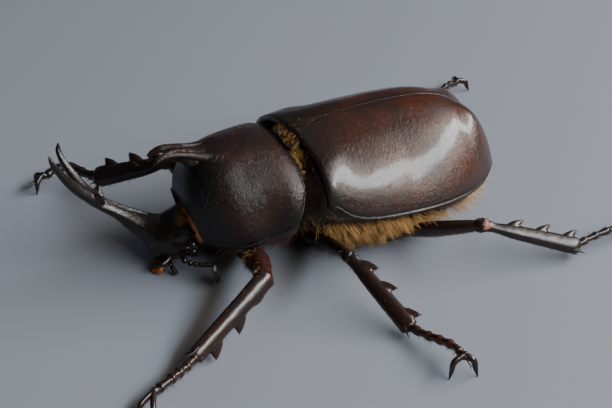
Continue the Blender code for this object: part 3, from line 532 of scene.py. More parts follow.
# each shell's pits hold their number per metre, size and depth, and the wrinkles' scale and depth
finishes = {
    # the wing case's border colour darkens its edges and paints the shade cast by the shield on its front
    "caseRed": shellFinish("wing case", {
        "tone": (0.05, 0.0135, 0.006), "toneTwo": (0.024, 0.008, 0.0042), "border": (0.008, 0.004, 0.003),
        "pitShadeTone": (0.012, 0.005, 0.004), "wearTone": (0.1, 0.045, 0.028), "wear": 0.2,
        "pits": (2300.0, 0.3, 0.4, 2100.0, 1.5), "roughness": 0.3, "coat": 0.42, "coatRoughness": 0.14,
        "gloss": 0.38, "bump": 0.85, "bumpDepth": 0.07}),
    "shieldDark": shellFinish("pronotum shell", {
        "tone": (0.021, 0.007, 0.004), "toneTwo": (0.01, 0.004, 0.003), "border": (0.003, 0.002, 0.002),
        "pitShadeTone": (0.006, 0.004, 0.004), "wearTone": (0.06, 0.03, 0.022), "wear": 0.12,
        "pits": (3000.0, 0.3, 0.5, 2700.0, 2.5), "roughness": 0.29, "bump": 0.8, "bumpDepth": 0.055}),
    "headDark": shellFinish("head shell", {
        "tone": (0.008, 0.005, 0.004), "toneTwo": (0.004, 0.003, 0.0025), "border": (0.24, 0.09, 0.032),
        "pitShadeTone": (0.004, 0.003, 0.003), "wearTone": (0.05, 0.028, 0.018), "wear": 0.2,
        "pits": (3400.0, 0.4, 1.0, 1100.0, 1.2), "roughness": 0.18, "gloss": 0.46, "bump": 0.7,
        "bumpDepth": 0.05}),
    "hornBlack": shellFinish("horn", {
        "tone": (0.008, 0.005, 0.004), "toneTwo": (0.005, 0.0035, 0.003), "pitShadeTone": (0.003, 0.002, 0.002),
        "wearTone": (0.05, 0.03, 0.02), "wear": 0.15, "pits": (3600.0, 0.36, 0.8, 2200.0, 1.2),
        "roughness": 0.25, "gloss": 0.45, "bump": 0.7, "bumpDepth": 0.04}),
    "legBrown": shellFinish("leg shell", {
        "tone": (0.018, 0.007, 0.005), "toneTwo": (0.007, 0.004, 0.004), "pitShadeTone": (0.004, 0.003, 0.003),
        "wearTone": (0.07, 0.028, 0.018), "wear": 0.15, "pits": (1500.0, 0.2, 0.8, 1400.0, 0.5),
        "roughness": 0.28, "bump": 0.4, "bumpDepth": 0.04}),
    "legRed": shellFinish("leg shell red", {
        "tone": (0.04, 0.011, 0.006), "toneTwo": (0.014, 0.006, 0.004), "pitShadeTone": (0.01, 0.004, 0.003),
        "wearTone": (0.14, 0.05, 0.03), "wear": 0.25, "pits": (1700.0, 0.2, 0.8, 1400.0, 0.5),
        "roughness": 0.28, "bump": 0.4, "bumpDepth": 0.04}),
    "underBrown": shellFinish("underside", {
        "tone": (0.028, 0.013, 0.009), "toneTwo": (0.012, 0.007, 0.006), "pitShadeTone": (0.007, 0.004, 0.003),
        "wearTone": (0.08, 0.04, 0.025), "wear": 0.25, "pits": (3200.0, 0.36, 1.0, 800.0, 1.0),
        "roughness": 0.4, "coat": 0.1, "bump": 0.8, "bumpDepth": 0.06}),
    "eyeBlack": shellFinish("eye", {
        "tone": (0.006, 0.005, 0.005), "toneTwo": (0.012, 0.009, 0.008), "pitShadeTone": (0.002, 0.002, 0.002),
        "wearTone": (0.02, 0.015, 0.012), "wear": 0.1, "pits": (9000.0, 0.6, -0.8, 3000.0, 0.1),
        "roughness": 0.2, "coat": 0.15, "coatRoughness": 0.08, "gloss": 0.4, "bump": 0.4, "bumpDepth": 0.02,
        "specks": 300.0}),
    "membrane": shellFinish("joint membrane", {
        "tone": (0.42, 0.22, 0.15), "toneTwo": (0.25, 0.1, 0.055), "pitShadeTone": (0.1, 0.04, 0.02),
        "wearTone": (0.6, 0.42, 0.34), "wear": 0.35, "pits": (5200.0, 0.4, 0.5, 2600.0, 1.6),
        "roughness": 0.42, "bump": 0.7, "bumpDepth": 0.04}),
    "brushFlesh": shellFinish("mouth brush", {
        "tone": (0.36, 0.11, 0.018), "toneTwo": (0.17, 0.05, 0.012), "pitShadeTone": (0.08, 0.028, 0.01),
        "wearTone": (0.6, 0.25, 0.06), "wear": 0.35, "pits": (5200.0, 0.4, 0.5, 2600.0, 1.6),
        "roughness": 0.38, "bump": 0.7, "bumpDepth": 0.04}),
    "goldHair": hairFinish("gold hair", {
        "tone": (0.56, 0.33, 0.105), "toneTwo": (0.2, 0.09, 0.024), "rootShade": (0.05, 0.022, 0.009),
        "roughness": 0.42}),
    "rustHair": hairFinish("rust hair", {
        "tone": (0.13, 0.045, 0.016), "toneTwo": (0.05, 0.02, 0.01), "rootShade": (0.015, 0.008, 0.006),
        "roughness": 0.42}),
    "neckGold": hairFinish("neck hair", {
        "tone": (0.29, 0.105, 0.027), "toneTwo": (0.11, 0.04, 0.013), "rootShade": (0.035, 0.014, 0.006),
        "roughness": 0.42}),
    "orangeHair": hairFinish("orange hair", {
        "tone": (0.5, 0.15, 0.018), "toneTwo": (0.2, 0.055, 0.01), "rootShade": (0.06, 0.02, 0.007),
        "roughness": 0.4}),
}
print("finishes made")


def runLength(grid, axis):
    # distance of each point from the grid's first row along an axis
    steps = np.linalg.norm(np.diff(grid, axis=axis), axis=2)
    start = np.zeros_like(np.take(steps, [0], axis=axis))
    return np.cumsum(np.concatenate([start, steps], axis=axis), axis=axis)


def raised(grid, lift):
    # a ringed grid with the first points of each ring moved out along their own normals
    along = np.gradient(grid, axis=0)
    around = np.roll(grid, -1, axis=1) - np.roll(grid, 1, axis=1)
    normal = np.cross(along, around)
    normal /= np.maximum(np.linalg.norm(normal, axis=2, keepdims=True), 1e-9)
    outward = ((grid - grid.mean(axis=(0, 1))) * normal).sum()
    lifts = np.zeros(grid.shape[:2])
    lifts[:, :lift.shape[1]] = lift
    return grid + math.copysign(1, outward) * normal * lifts[..., None]


def roughness(grid, scale, seed=0.0):
    # slow hills and hollows between -1 and 1
    return np.array([
        [noise.fractal(Vector(point) / scale + Vector((seed, 0, 0)), 1.0, 2.0, 3) for point in ring]
        for ring in grid
    ])


# Wing cases

caseShape = {
    "frontY": 0.2, "rearY": 30.4, "widestY": 14.0, "halfWidth": 13.2, "topZ": 19.1, "marginZ": 7.8,
    "frontNarrowing": 1.7, "frontDrop": 1.2, "frontRise": 2.6, "rearReach": 0.3,
    "thickness": 0.75, "seam": 0.03, "stations": 120, "arc": 100, "slant": 0.11, "slantLength": 5.0,
    "seamGroove": 0.03, "sideRim": 0.06, "sideGroove": 0.05, "hills": 0.014, "hillSize": 1.6,
    # height, place and width across, place and length along
    "swell": (1.5, 5.0, 3.6, 27.0, 2.5), "shoulder": (0.42, 8.4, 1.7, 3.2, 1.9),
    "dent": (-0.12, 6.0, 3.2, 23.4, 1.1), "dentSlope": 0.12, "ribs": 0.02, "ribTurns": 26,
}


def caseShares(y):
    # how far a place lies ahead of the widest one and behind it
    shape = caseShape
    ahead = (shape["widestY"] - y) / (shape["widestY"] - shape["frontY"])
    return ahead, (y - shape["widestY"]) / (shape["rearY"] + shape["rearReach"] - shape["widestY"])


def caseHalfWidth(y):
    ahead, behind = caseShares(y)
    if behind < 0:
        return caseShape["halfWidth"] - caseShape["frontNarrowing"] * max(ahead, 0.0) ** 2.2
    return caseShape["halfWidth"] * math.sqrt(max(1.0 - behind ** 2.3, 0.0))


def caseMargin(y):
    return caseShape["marginZ"] + caseShape["frontRise"] * math.exp(-max(y - 1.5, 0.0) / 2.6)


def caseCrown(y):
    shape = caseShape
    ahead, behind = caseShares(y)
    if behind < 0:
        return shape["topZ"] - shape["frontDrop"] * ahead ** 1.6
    fall = max(1.0 - behind ** 3.3, 0.0) ** 0.68
    return shape["marginZ"] + (shape["topZ"] - shape["marginZ"]) * fall


def archPoint(halfWidth, foot, crown, place, fall):
    # place runs from the crown at 0 to the side at 1
    angle = math.pi / 2 * (1 - place)
    x = halfWidth * max(math.cos(angle), 0.0) ** 0.92
    return x, foot + (crown - foot) * max(math.sin(angle), 0.0) ** fall


def archFall(y):
    return 0.92 + 0.53 * within(y / caseShape["widestY"])


def slanted(x, y):
    # the front edges lie askew, the left one further back
    return y + caseShape["slant"] * x * math.exp(-(y / caseShape["slantLength"]) ** 2)


def finerAtEnds(place, share=0.11):
    return place - share * math.sin(2 * math.pi * place)


def caseGrid(side):
    shape = caseShape
    rings = []
    for step in range(shape["stations"]):
        share = step / (shape["stations"] - 1)
        y = shape["frontY"] + (shape["rearY"] - shape["frontY"]) * math.sin(math.pi / 2 * share) ** 0.9
        width, foot, crown, fall = caseHalfWidth(y), caseMargin(y), caseCrown(y), archFall(y)
        inside = max(width - shape["thickness"], 1.8)
        roof = max(crown - shape["thickness"], foot + 0.25)
        outer, inner = [], []
        for k in range(shape["arc"]):
            place = finerAtEnds(k / (shape["arc"] - 1))
            x, z = archPoint(width, foot, crown, place, fall)
            x = side * max(x, shape["seam"])
            outer.append((x, slanted(x, y), z + hump(abs(x), y, shape["swell"])))
            x, z = archPoint(inside, foot, roof, place, fall)
            x = side * max(x, shape["seam"])
            inner.append((x, slanted(x, y - shape["thickness"] * share ** 3), z))
        rings.append(outer + inner[::-1])
    return np.array(rings)


def makeCase(name, node, side):
    shape = caseShape
    grid = caseGrid(side)
    outer = grid[:, :shape["arc"]]
    fromSeam = runLength(outer, 1)
    fromSide = fromSeam[:, -1:] - fromSeam
    across, y = np.abs(outer[..., 0]), outer[..., 1]
    lift = -shape["seamGroove"] * bell(fromSeam, 0.5, 0.16)
    lift += shape["sideRim"] * bell(fromSide, 0.16, 0.16) - shape["sideGroove"] * bell(fromSide, 0.52, 0.18)
    lift += hump(across, y, shape["shoulder"])
    lift += hump(across, y - shape["dentSlope"] * across, shape["dent"])
    lift += shape["hills"] * roughness(outer, shape["hillSize"], side)
    lift += shape["ribs"] * np.cos(across / shape["halfWidth"] * shape["ribTurns"]) * bell(y, 14, 9)
    form = loftForm(raised(grid, lift), arch=True)
    case = newPiece(name, form, finishes["caseRed"], [node])
    # darker at the seam, side and rear edges; the wide band across the front is painted shade cast by the
    # shield
    border = np.maximum.reduce([
        0.8 * bell(fromSeam, 0, 0.5), bell(fromSide, 0, 1.8), 0.95 * bell(y, shape["frontY"], 7.0),
        0.7 * bell(y, shape["rearY"], 1.6)])
    setMarks(case.data, "border", np.clip(np.concatenate([border, np.ones_like(border)], axis=1), 0, 1))


makeCase("wingCaseLeft", "elytron_left", 1)
makeCase("wingCaseRight", "elytron_right", -1)
print("wing cases made")


# Rear body under the wing cases

bellyShape = {
    "bellyZ": 2.1, "collarY": -collarDepth, "thoraxRear": 13.0, "abdomenRear": 28.4, "gap": 0.3, "rings": 5,
    "steps": 26, "ringStep": 0.22, "ringGroove": 0.32, "grooveWidth": 0.16,
    # half width, foot, crown and belly at two places ahead of the wing cases
    "collarRows": ((-collarDepth, 7.6, 10.2, 14.6, 4.6), (0.2, 8.9, 10.2, 15.6, 3.6)),
    "thoraxStations": 70, "abdomenStations": 110, "breastHump": (0.25, 2.4, 1.2, 7, 3),
}
sideways = Vector((1, 0, 0))


def bodyRing(y, width, foot, crown, belly):
    steps = bellyShape["steps"]
    fall = archFall(y)
    half = [archPoint(width, foot, crown, step / (steps - 1), fall) for step in range(steps)]
    for step in range(1, steps):
        angle = math.pi / 2 * step / (steps - 1)
        half.append((width * max(math.cos(angle), 0.0) ** 0.75, foot - (foot - belly) * math.sin(angle)))
    ring = half + [(-x, z) for x, z in reversed(half[1:-1])]
    return [(x, y, z) for x, z in ring]


def makeThorax():
    shape = bellyShape
    inset = caseShape["thickness"] + shape["gap"]
    rows = list(shape["collarRows"])
    for y in (1.6, 4.4, 8.4, shape["thoraxRear"]):
        width = caseHalfWidth(y) - inset - 0.1
        belly = shape["bellyZ"] + 0.9 * ((8.0 - y) / 7.0) ** 2
        rows.append((y, width, caseMargin(y) - 0.1, caseCrown(y) - inset - 0.1, belly))
    grid = np.array([bodyRing(*row) for row in smoothRows(rows, shape["thoraxStations"])])
    x, y, z = np.moveaxis(grid, 2, 0)
    low = np.clip((7.0 - z) / 2.0, 0, 1)
    lift = -0.3 * bell(x, 0, 0.3) * low - 0.35 * bell(y, 2.8 + 0.05 * np.abs(x), 0.25) * low
    lift += hump(np.abs(x), y, shape["breastHump"]) * low + 0.06 * roughness(grid, 1.1)
    form = loftForm(raised(grid, lift))
    return newPiece("thoraxShell", form, finishes["underBrown"], ["thorax"])


def makeAbdomen():
    shape = bellyShape
    inset = caseShape["thickness"] + shape["gap"] + 0.15
    start = shape["thoraxRear"] + shape["gap"]
    length = shape["abdomenRear"] - start
    rings = []
    for step in range(shape["abdomenStations"]):
        place = step / (shape["abdomenStations"] - 1)
        y = start + length * place
        crown = caseCrown(y + 0.6 * place) - inset
        belly = shape["bellyZ"] + 0.3 + 3.6 * place ** 2.2
        rings.append(bodyRing(y, caseHalfWidth(y + 0.4) - inset, caseMargin(y) - 0.1, crown, belly))
    grid = np.array(rings)
    x, y, z = np.moveaxis(grid, 2, 0)
    turn = (y - start) / length * shape["rings"]
    inRing = turn - np.floor(turn)
    lift = shape["ringStep"] * inRing ** 2 - shape["ringGroove"] * np.exp(-inRing / shape["grooveWidth"])
    lift = lift * np.clip((10.0 - z) / 2.0, 0, 1) + 0.05 * roughness(grid, 0.9, 5.0)
    form = loftForm(raised(grid, lift))
    return newPiece("abdomenShell", form, finishes["underBrown"], ["abdomen"])


def makePygidium():
    rows = [
        (0.0, bellyShape["abdomenRear"] + behind, z, across, deep)
        for behind, z, across, deep in (
            (0.3, 7.0, 4.6, 1.5), (0.8, 6.95, 4.2, 1.4), (1.25, 6.9, 3.2, 1.0), (1.5, 6.9, 1.6, 0.5))
    ]
    form = tubeForm(smoothRows(rows, 16), 40, sideways, roundStart=False)
    return newPiece("tailPlate", form, finishes["shieldDark"], ["pygidium"])


scutellumShape = {
    "frontY": -0.7, "length": 4.7, "half": 3.1, "leastHalf": 0.4, "thick": 0.6, "below": 0.55,
    "frontDrop": 1.1, "groove": 0.12, "grooveAt": 0.78, "grooveWidth": 0.14, "stations": 22,
}


def makeScutellum():
    shape = scutellumShape
    rows = []
    for step in range(shape["stations"]):
        place = step / (shape["stations"] - 1)
        half = shape["half"] * (1 - place ** 1.9) ** 0.8 + shape["leastHalf"]
        y = shape["frontY"] + shape["length"] * place
        z = caseCrown(y) - shape["below"] - shape["frontDrop"] * (1 - place) ** 3
        rows.append((0.0, y, z, half, shape["thick"]))
    form = tubeForm(rows, 40, sideways, roundEnd=False, square=0.8)

    def relief(spot, normal):
        place = within((spot.y - shape["frontY"]) / shape["length"])
        half = shape["half"] * max(1 - place ** 1.9, 0.01) ** 0.8 + shape["leastHalf"]
        apart = abs(abs(spot.x) / half - shape["grooveAt"])
        groove = shape["groove"] * max(0, 1 - apart / shape["grooveWidth"])
        return (0.03 * noise.noise(spot * 2.4) - groove) * max(normal.z, 0)

    return moulded(
        "scutellumShell", [form], 0.1, 2, finishes["underBrown"], ["scutellum"], relief)


thoraxShell, abdomenShell, tailPlate = makeThorax(), makeAbdomen(), makePygidium()
scutellumShell = makeScutellum()
print("rear body made")


# Shield over the front of the body

shieldShape = {
    # side, side y, side z, crown y and crown z from the rear margin to the front one
    "rows": (
        (10.05, -1.45, 12.7, -1.2, 16.1), (11.2, -2.9, 9.3, -3.5, 17.3), (10.05, -6.2, 7.1, -7.0, 17.9),
        (9.3, -10.1, 5.9, -11.2, 17.4), (7.4, -13.2, 6.1, -14.5, 15.6), (6.5, -14.4, 6.2, -16.05, 13.2),
        (5.8, -15.1, 6.5, -16.3, 10.9),
    ),
    "stations": 96, "arc": 130, "below": 12, "rim": 0.07, "groove": 0.05, "hills": 0.016, "hillSize": 1.2,
    "ridge": (0.12, 0, 1.1, -8.5, 3.0), "dent": (-0.15, 6.4, 1.2, -9.0, 1.4),
    # how the front edge rolls over, as scale and depth
    "lip": ((0.992, -0.14), (0.97, -0.22), (0.94, -0.16), (0.915, 0.1), (0.9, 0.5), (0.89, 1.2)),
}


def shieldRing(row):
    side, sideY, sideZ, crownY, crownZ = row
    ring = []
    for step in range(shieldShape["arc"] + 1):
        angle = math.pi * finerAtEnds(step / shieldShape["arc"])
        rise = max(math.sin(angle), 0.0)
        x = side * raisedTo(math.cos(angle), 0.87)
        ring.append((x, sideY + (crownY - sideY) * rise, sideZ + (crownZ - sideZ) * rise ** 0.88))
    for step in range(1, shieldShape["below"]):
        x = side * (2 * step / shieldShape["below"] - 1)
        ring.append((x, sideY, sideZ - 0.5 * (1 - (x / side) ** 2)))
    return ring


def makeShield():
    shape = shieldShape
    grid = np.array([shieldRing(row) for row in smoothRows(shape["rows"], shape["stations"])])
    over = grid[:, :shape["arc"] + 1]
    fromRear = runLength(over, 0)
    fromFront = fromRear[-1:] - fromRear
    fromLeft = runLength(over, 1)
    fromSide = np.minimum(fromLeft, fromLeft[:, -1:] - fromLeft)
    lift = np.zeros(over.shape[:2])
    for distance in (fromRear, fromFront, fromSide):
        lift = np.maximum(lift, shape["rim"] * bell(distance, 0.14, 0.16))
        lift -= shape["groove"] * bell(distance, 0.5, 0.16)
    x, y, z = np.moveaxis(over, 2, 0)
    lift += hump(x, y, shape["ridge"])
    lift += hump(np.abs(x), y, shape["dent"])
    lift += shape["hills"] * roughness(over, shape["hillSize"], 3.0)
    grid = raised(grid, lift)
    rim = grid[-1]
    centre = rim.mean(axis=0)
    lip = [centre + (rim - centre) * scale + np.array([0.0, back, 0.0]) for scale, back in shape["lip"]]
    grid = np.concatenate([grid, np.array(lip)])
    piece = newPiece("shield", loftForm(grid), finishes["shieldDark"], ["pronotum"])
    spread = np.ones(grid.shape[:2])
    spread[:len(over), :shape["arc"] + 1] = np.maximum.reduce([
        bell(fromRear, 0, 0.9), bell(fromSide, 0, 2.5), np.clip((-y - 9.0) / 5.0, 0, 1)])
    # the two points at the ends' middles come last
    setMarks(piece.data, "border", np.clip([*spread.ravel(), 1.0, 1.0], 0, 1))
    return piece


plateShape = {
    "inset": 0.55, "drop": 0.45, "bottomZ": 3.6, "dip": 0.9, "lean": 2.3,
    "stations": 60, "sides": 64,
}


def makeProsternum():
    shape = plateShape
    rings = []
    for side, sideY, sideZ, _, _ in smoothRows(shieldShape["rows"], shape["stations"]):
        side -= shape["inset"]
        front = within((-sideY - 1.5) / 14.0)
        bottom = shape["bottomZ"] - shape["dip"] * math.sin(math.pi * min(front * 1.15, 1.0))
        lean = shape["lean"] * max(front - 0.75, 0.0) / 0.25
        ring = []
        for step in range(shape["sides"]):
            angle = 2 * math.pi * step / shape["sides"]
            x, y, z = side * math.cos(angle), sideY, sideZ - shape["drop"]
            drop = math.sin(angle)
            if drop <= 0:
                y, z = sideY - lean * drop * 0.9, sideZ + (sideZ - bottom) * drop
            ring.append((x, y, z))
        rings.append(ring)
    grid = np.array(rings)
    low = np.clip((4.5 - grid[..., 2]), 0, 1)
    lift = 0.1 * roughness(grid, 0.8, 9.0) - 0.3 * bell(grid[..., 0], 0, 0.35) * low
    form = loftForm(raised(grid, lift))
    return newPiece("breastPlate", form, finishes["underBrown"], ["prosternum"])


def granular(size, depth, seed=0.0):
    # a relief of small grains
    def relief(spot, normal):
        grain = noise.noise(spot / size + Vector((seed, 0, 0)))
        swell = noise.noise(spot / (size * 5))
        return depth * (max(grain, 0) * 1.6 - 0.25 + 0.7 * swell)
    return relief


shieldHornShape = {
    "stem": (
        (0.0, -9.0, 14.8, 2.6, 1.7), (0.0, -11.2, 15.1, 2.3, 1.8), (0.0, -13.0, 15.9, 1.8, 1.55),
        (0.0, -15.0, 16.9, 1.5, 1.1), (0.0, -16.6, 17.45, 1.4, 0.85),
    ),
    "prong": (
        (0.5, -15.2, 17.4, 0.8, 0.8), (0.95, -17.3, 17.95, 0.62, 0.66), (1.3, -18.7, 17.75, 0.42, 0.45),
        (1.55, -19.8, 17.1, 0.14, 0.16),
    ),
    "ridge": (
        (2.1, -10.6, 16.2, 0.5, 0.5), (1.75, -12.6, 16.9, 0.48, 0.48), (1.45, -14.6, 17.45, 0.46, 0.44),
        (1.3, -16.4, 17.85, 0.44, 0.44), (1.35, -18.0, 17.9, 0.4, 0.42), (1.5, -19.3, 17.45, 0.26, 0.3),
    ),
}


def onSide(side, rows):
    # rows for the left side carried to either one
    return [(side * row[0], *row[1:]) for row in rows]


def makeShieldHorn():
    shape = shieldHornShape
    forms = [tubeForm(smoothRows(shape["stem"], 20), 28, sideways, square=1.1)]
    for side in (-1, 1):
        prong = smoothRows(onSide(side, shape["prong"]), 16)
        forms.append(tubeForm(prong, 16, sideways, roundStart=False, square=1.15))
        forms.append(tubeForm(smoothRows(onSide(side, shape["ridge"]), 24), 14, sideways))
    return moulded(
        "shieldHorn", forms, 0.12, 2, finishes["shieldDark"], ["thoracic_horn"], granular(0.5, 0.015))


shield, breastPlate, shieldHorn = makeShield(), makeProsternum(), makeShieldHorn()
filleted(shield, shieldHorn, 1.7)
print("shield made")


# Head, measured left of, ahead of and above the neck

headShape = {
    "neck": (0.0, -14.2, 7.0), "turn": math.radians(15), "lean": math.radians(6), "clearance": 0.25,
}
headFrame = (
    Matrix.Translation(headShape["neck"])
    @ Matrix.Rotation(-headShape["turn"], 4, "Z")
    @ Matrix.Rotation(-headShape["lean"], 4, "Y")
)
headAxis, headBack = (headFrame.to_3x3() @ Vector(way) for way in ((1, 0, 0), (0, 1, 0)))
headInverse = headFrame.inverted()


def headPlace(left, ahead, up):
    return keptOver(headFrame @ Vector((left, -ahead, up)), headShape["clearance"])


def headTube(rows, count, sides, plane=headAxis, **ends):
    placed = []
    for left, ahead, up, across, deep in smoothRows(rows, count):
        x, y, z = headFrame @ Vector((left, -ahead, up))
        placed.append((x, y, max(z, max(across, deep) + headShape["clearance"]), across, deep))
    return tubeForm(placed, sides, plane, **ends)


skullShape = {
    # rows, how many to read, points around and further options
    "middle": (
        (((0.0, -0.8, -1.2, 4.2, 3.3), (0.0, 1.4, -1.7, 4.4, 3.5), (0.0, 3.2, -2.5, 3.9, 3.1),
          (0.0, 4.5, -3.3, 3.2, 2.4), (0.0, 5.3, -4.0, 2.7, 1.35)), 20, 40,
         {"roundStart": False, "square": 0.92}),
        (((0.0, 3.9, -4.4, 2.6, 0.9), (0.0, 5.2, -4.8, 2.65, 0.6), (0.0, 6.0, -5.0, 2.3, 0.42)), 12, 30,
         {"roundStart": False, "square": 0.7}),
    ),
    "lobe": (((1.1, 5.4, -4.85, 1.1, 0.48), (1.35, 6.3, -4.95, 0.8, 0.36)), 8, 20),
    "ridge": (((2.6, 3.6, -2.4, 0.7, 0.5), (4.1, 2.4, -2.3, 0.75, 0.35), (4.9, 1.3, -2.3, 0.5, 0.3)), 12, 16),
    "cheek": (((2.6, 1.6, -3.6, 1.2, 1.0), (3.4, 0.6, -3.6, 1.1, 0.9)), 8, 20),
    "jaw": (((2.0, 4.2, -5.2, 0.75, 0.5), (2.8, 5.0, -5.5, 0.6, 0.5), (2.9, 5.7, -5.6, 0.4, 0.38),
             (2.5, 6.3, -5.6, 0.16, 0.14)), 12, 14),
    "chin": (((0.0, 2.6, -5.0, 1.7, 0.8), (0.0, 4.3, -5.3, 1.5, 0.6)), 8, 20),
}


def makeHead():
    shape = skullShape
    forms = [headTube(rows, count, sides, **more) for rows, count, sides, more in shape["middle"]]
    sharp = []
    for side in (-1, 1):
        for part, group in (("lobe", forms), ("ridge", forms), ("cheek", forms), ("jaw", sharp)):
            rows, count, sides = shape[part]
            group.append(headTube(onSide(side, rows), count, sides))
    forms.append(headTube(*shape["chin"]))
    head = moulded("headShell", forms, 0.13, 3, finishes["headDark"], ["head"],
                   granular(0.62, 0.045, 4.0), sharp)

    def nape(spot):
        own = headInverse @ spot
        return within((own.z - 0.2 + 0.5 * noise.noise(own * 1.3)) / 0.9) * within((3.0 + own.y) / 1.5)

    setMarks(head.data, "border", [nape(fromWaist(vert.co)) for vert in head.data.vertices])
    return head


hornShape = {
    "shaft": (
        (0.0, 3.6, -2.9, 2.7, 2.4), (0.0, 6.1, -1.3, 2.1, 2.2), (0.0, 8.1, -0.1, 1.55, 1.7),
        (0.0, 10.3, 1.55, 1.12, 1.1), (0.0, 12.5, 3.0, 1.3, 0.95), (0.0, 14.0, 4.1, 1.6, 0.85),
        (0.0, 15.0, 5.0, 1.5, 0.7),
    ),
    # the right prong bows out lower and ends shorter than the left one
    "prongs": {
        -1: (
            (0.6, 13.4, 3.8, 0.95, 0.85), (1.5, 15.05, 5.25, 0.86, 0.78), (2.3, 16.3, 6.95, 0.7, 0.66),
            (2.95, 17.4, 8.8, 0.55, 0.52), (3.3, 17.85, 10.2, 0.42, 0.4), (3.35, 17.75, 11.1, 0.2, 0.2),
        ),
        1: (
            (0.6, 13.4, 3.9, 0.95, 0.85), (1.5, 15.2, 5.8, 0.88, 0.8), (2.3, 16.6, 7.7, 0.72, 0.68),
            (3.0, 17.8, 9.8, 0.52, 0.5), (3.3, 18.4, 11.1, 0.38, 0.36), (3.35, 18.6, 12.0, 0.16, 0.16),
        ),
    },
    # a flattened tine on each side of the fork's root
    "tine": ((0.75, 13.3, 3.7), (1.4, 12.7, 5.25)), "tineSize": 1.3, "tineBend": -0.05,
    "keel": (
        (0.0, 5.2, -0.2, 0.42, 0.9), (0.0, 7.6, 0.95, 0.3, 0.8), (0.0, 9.8, 2.1, 0.26, 0.6),
        (0.0, 12.2, 3.4, 0.3, 0.6),
    ),
}


def makeHorn():
    shape = hornShape
    forms = [headTube(shape["shaft"], 40, 32, square=1.32)]
    for side, rows in shape["prongs"].items():
        forms.append(headTube(onSide(side, rows), 44, 22, square=1.2))
        root, tip = (headPlace(side * left, ahead, up) for left, ahead, up in shape["tine"])
        forms.append(thornForm(
            root, tip, shape["tineSize"], headBack * shape["tineBend"], sides=16, flat=0.5, steps=14,
            tipShare=0.14))
    forms.append(headTube(shape["keel"], 16, 12))
    grains = granular(0.3, 0.02, 7.0)

    def relief(spot, normal):
        # the prongs are smooth
        return grains(spot, normal) * within((14.0 + (headInverse @ spot).y) / 3, 0.15)

    return moulded("headHorn", forms, 0.12, 3, finishes["hornBlack"], ["head_horn"], relief)


eyeRows = ((3.3, 0.7, -2.2, 0.85, 0.95), (4.4, 0.7, -2.2, 0.85, 0.9))


def makeEye(name, node, side):
    form = headTube(onSide(side, eyeRows), 8, 36, headBack)
    newPiece(name, form, finishes["eyeBlack"], [node])


antennaShape = {
    "scape": ((3.2, 2.4, -3.2, 0.3), (3.9, 2.3, -3.9, 0.34), (4.7, 1.9, -4.4, 0.44)),
    "beads": (
        (5.1, 1.2, -4.65), (5.35, 0.45, -4.75), (5.7, -0.25, -4.7), (6.05, -0.85, -4.6), (6.4, -1.4, -4.45),
    ),
    "beadSize": 0.4, "beadLength": 0.78,
    # each plate of the club: left, how far the plates fan out that way, ahead, the same, up and half sizes
    "plates": (
        (6.6, 0.08, -1.8, 0.08, -4.2, 0.2, 0.32), (6.8, 0.26, -2.1, 0.16, -4.9, 0.2, 0.64),
        (6.95, 0.34, -2.3, 0.22, -5.9, 0.2, 0.74), (7.0, 0.34, -2.4, 0.22, -6.75, 0.14, 0.46),
    ),
}


def makeAntenna(name, node, side):
    shape = antennaShape
    scape = [(side * left, ahead, up, size, size) for left, ahead, up, size in shape["scape"]]
    forms = [headTube(scape, 12, 18)]
    spots = [headPlace(side * left, ahead, up) for left, ahead, up in shape["beads"]]
    for i, spot in enumerate(spots):
        near = spots[min(i + 1, len(spots) - 1)] - spots[max(i - 1, 0)]
        forms.append(beadForm(spot, near, shape["beadLength"], shape["beadSize"]))
    for index in (-1, 0, 1):
        plate = [
            (side * (left + out * index), ahead + fan * index, up, across, deep)
            for left, out, ahead, fan, up, across, deep in shape["plates"]
        ]
        forms.append(headTube(plate, 14, 18, headBack, roundStart=False))
    newPiece(name, joinedForm(forms), finishes["headDark"], [node])


palpShape = {
    "joints": ((1.7, 4.2, -5.0), (2.2, 4.0, -5.6), (2.7, 3.8, -6.1), (3.1, 3.5, -6.5), (3.4, 3.2, -6.9)),
    "lengths": (0.85, 0.85, 0.85, 1.05), "size": 0.36, "clearance": 0.6,
    "innerJoints": 3, "innerLength": 0.62, "innerSize": 0.24, "innerClearance": 0.5,
    "innerSpots": ((1.0, 4.6, -5.4), (1.2, 4.8, -5.8)),
}


def makePalp(name, node, side):
    shape = palpShape
    forms = []
    for i, length in enumerate(shape["lengths"]):
        start, end = (headPlace(side * left, ahead, up) for left, ahead, up in shape["joints"][i:i + 2])
        middle = keptOver(start.lerp(end, 0.5), shape["clearance"])
        forms.append(beadForm(middle, end - start, length, shape["size"]))
    least = shape["innerClearance"]
    for i in range(shape["innerJoints"]):
        start, end = (
            keptOver(headPlace(side * (left + 0.25 * i), ahead + 0.3 * i, up - 0.4 * i), least)
            for left, ahead, up in shape["innerSpots"])
        way = end - start + Vector((0, 0, 0.01))
        forms.append(beadForm(
            start.lerp(end, 0.5), way, shape["innerLength"], shape["innerSize"], rings=7, sides=12))
    newPiece(name, joinedForm(forms), finishes["headDark"], [node])


brushShape = {
    "base": ((1.0, 4.4, -5.5, 1.5, 0.6), (1.4, 4.9, -5.9, 1.2, 0.5), (1.7, 5.3, -6.1, 0.8, 0.4)),
    # soft lobes, as left, ahead, up and size
    "lobes": ((0.5, 5.6, -6.0, 0.38), (1.2, 5.8, -6.3, 0.42), (1.9, 5.7, -6.45, 0.4), (2.5, 5.3, -6.5, 0.34)),
    "lobeWay": (0.3, -1, -0.6), "lobeStretch": 2.6,
}


def makeBrushBase():
    shape = brushShape
    forms = [headTube(shape["base"], 10, 24)]
    for left, ahead, up, size in shape["lobes"]:
        spot = headPlace(left, ahead, up)
        forms.append(beadForm(spot, shape["lobeWay"], size * shape["lobeStretch"], size))
    return moulded(
        "brushBase", forms, 0.12, 1, finishes["brushFlesh"], ["mouth_brush"], granular(0.25, 0.03))


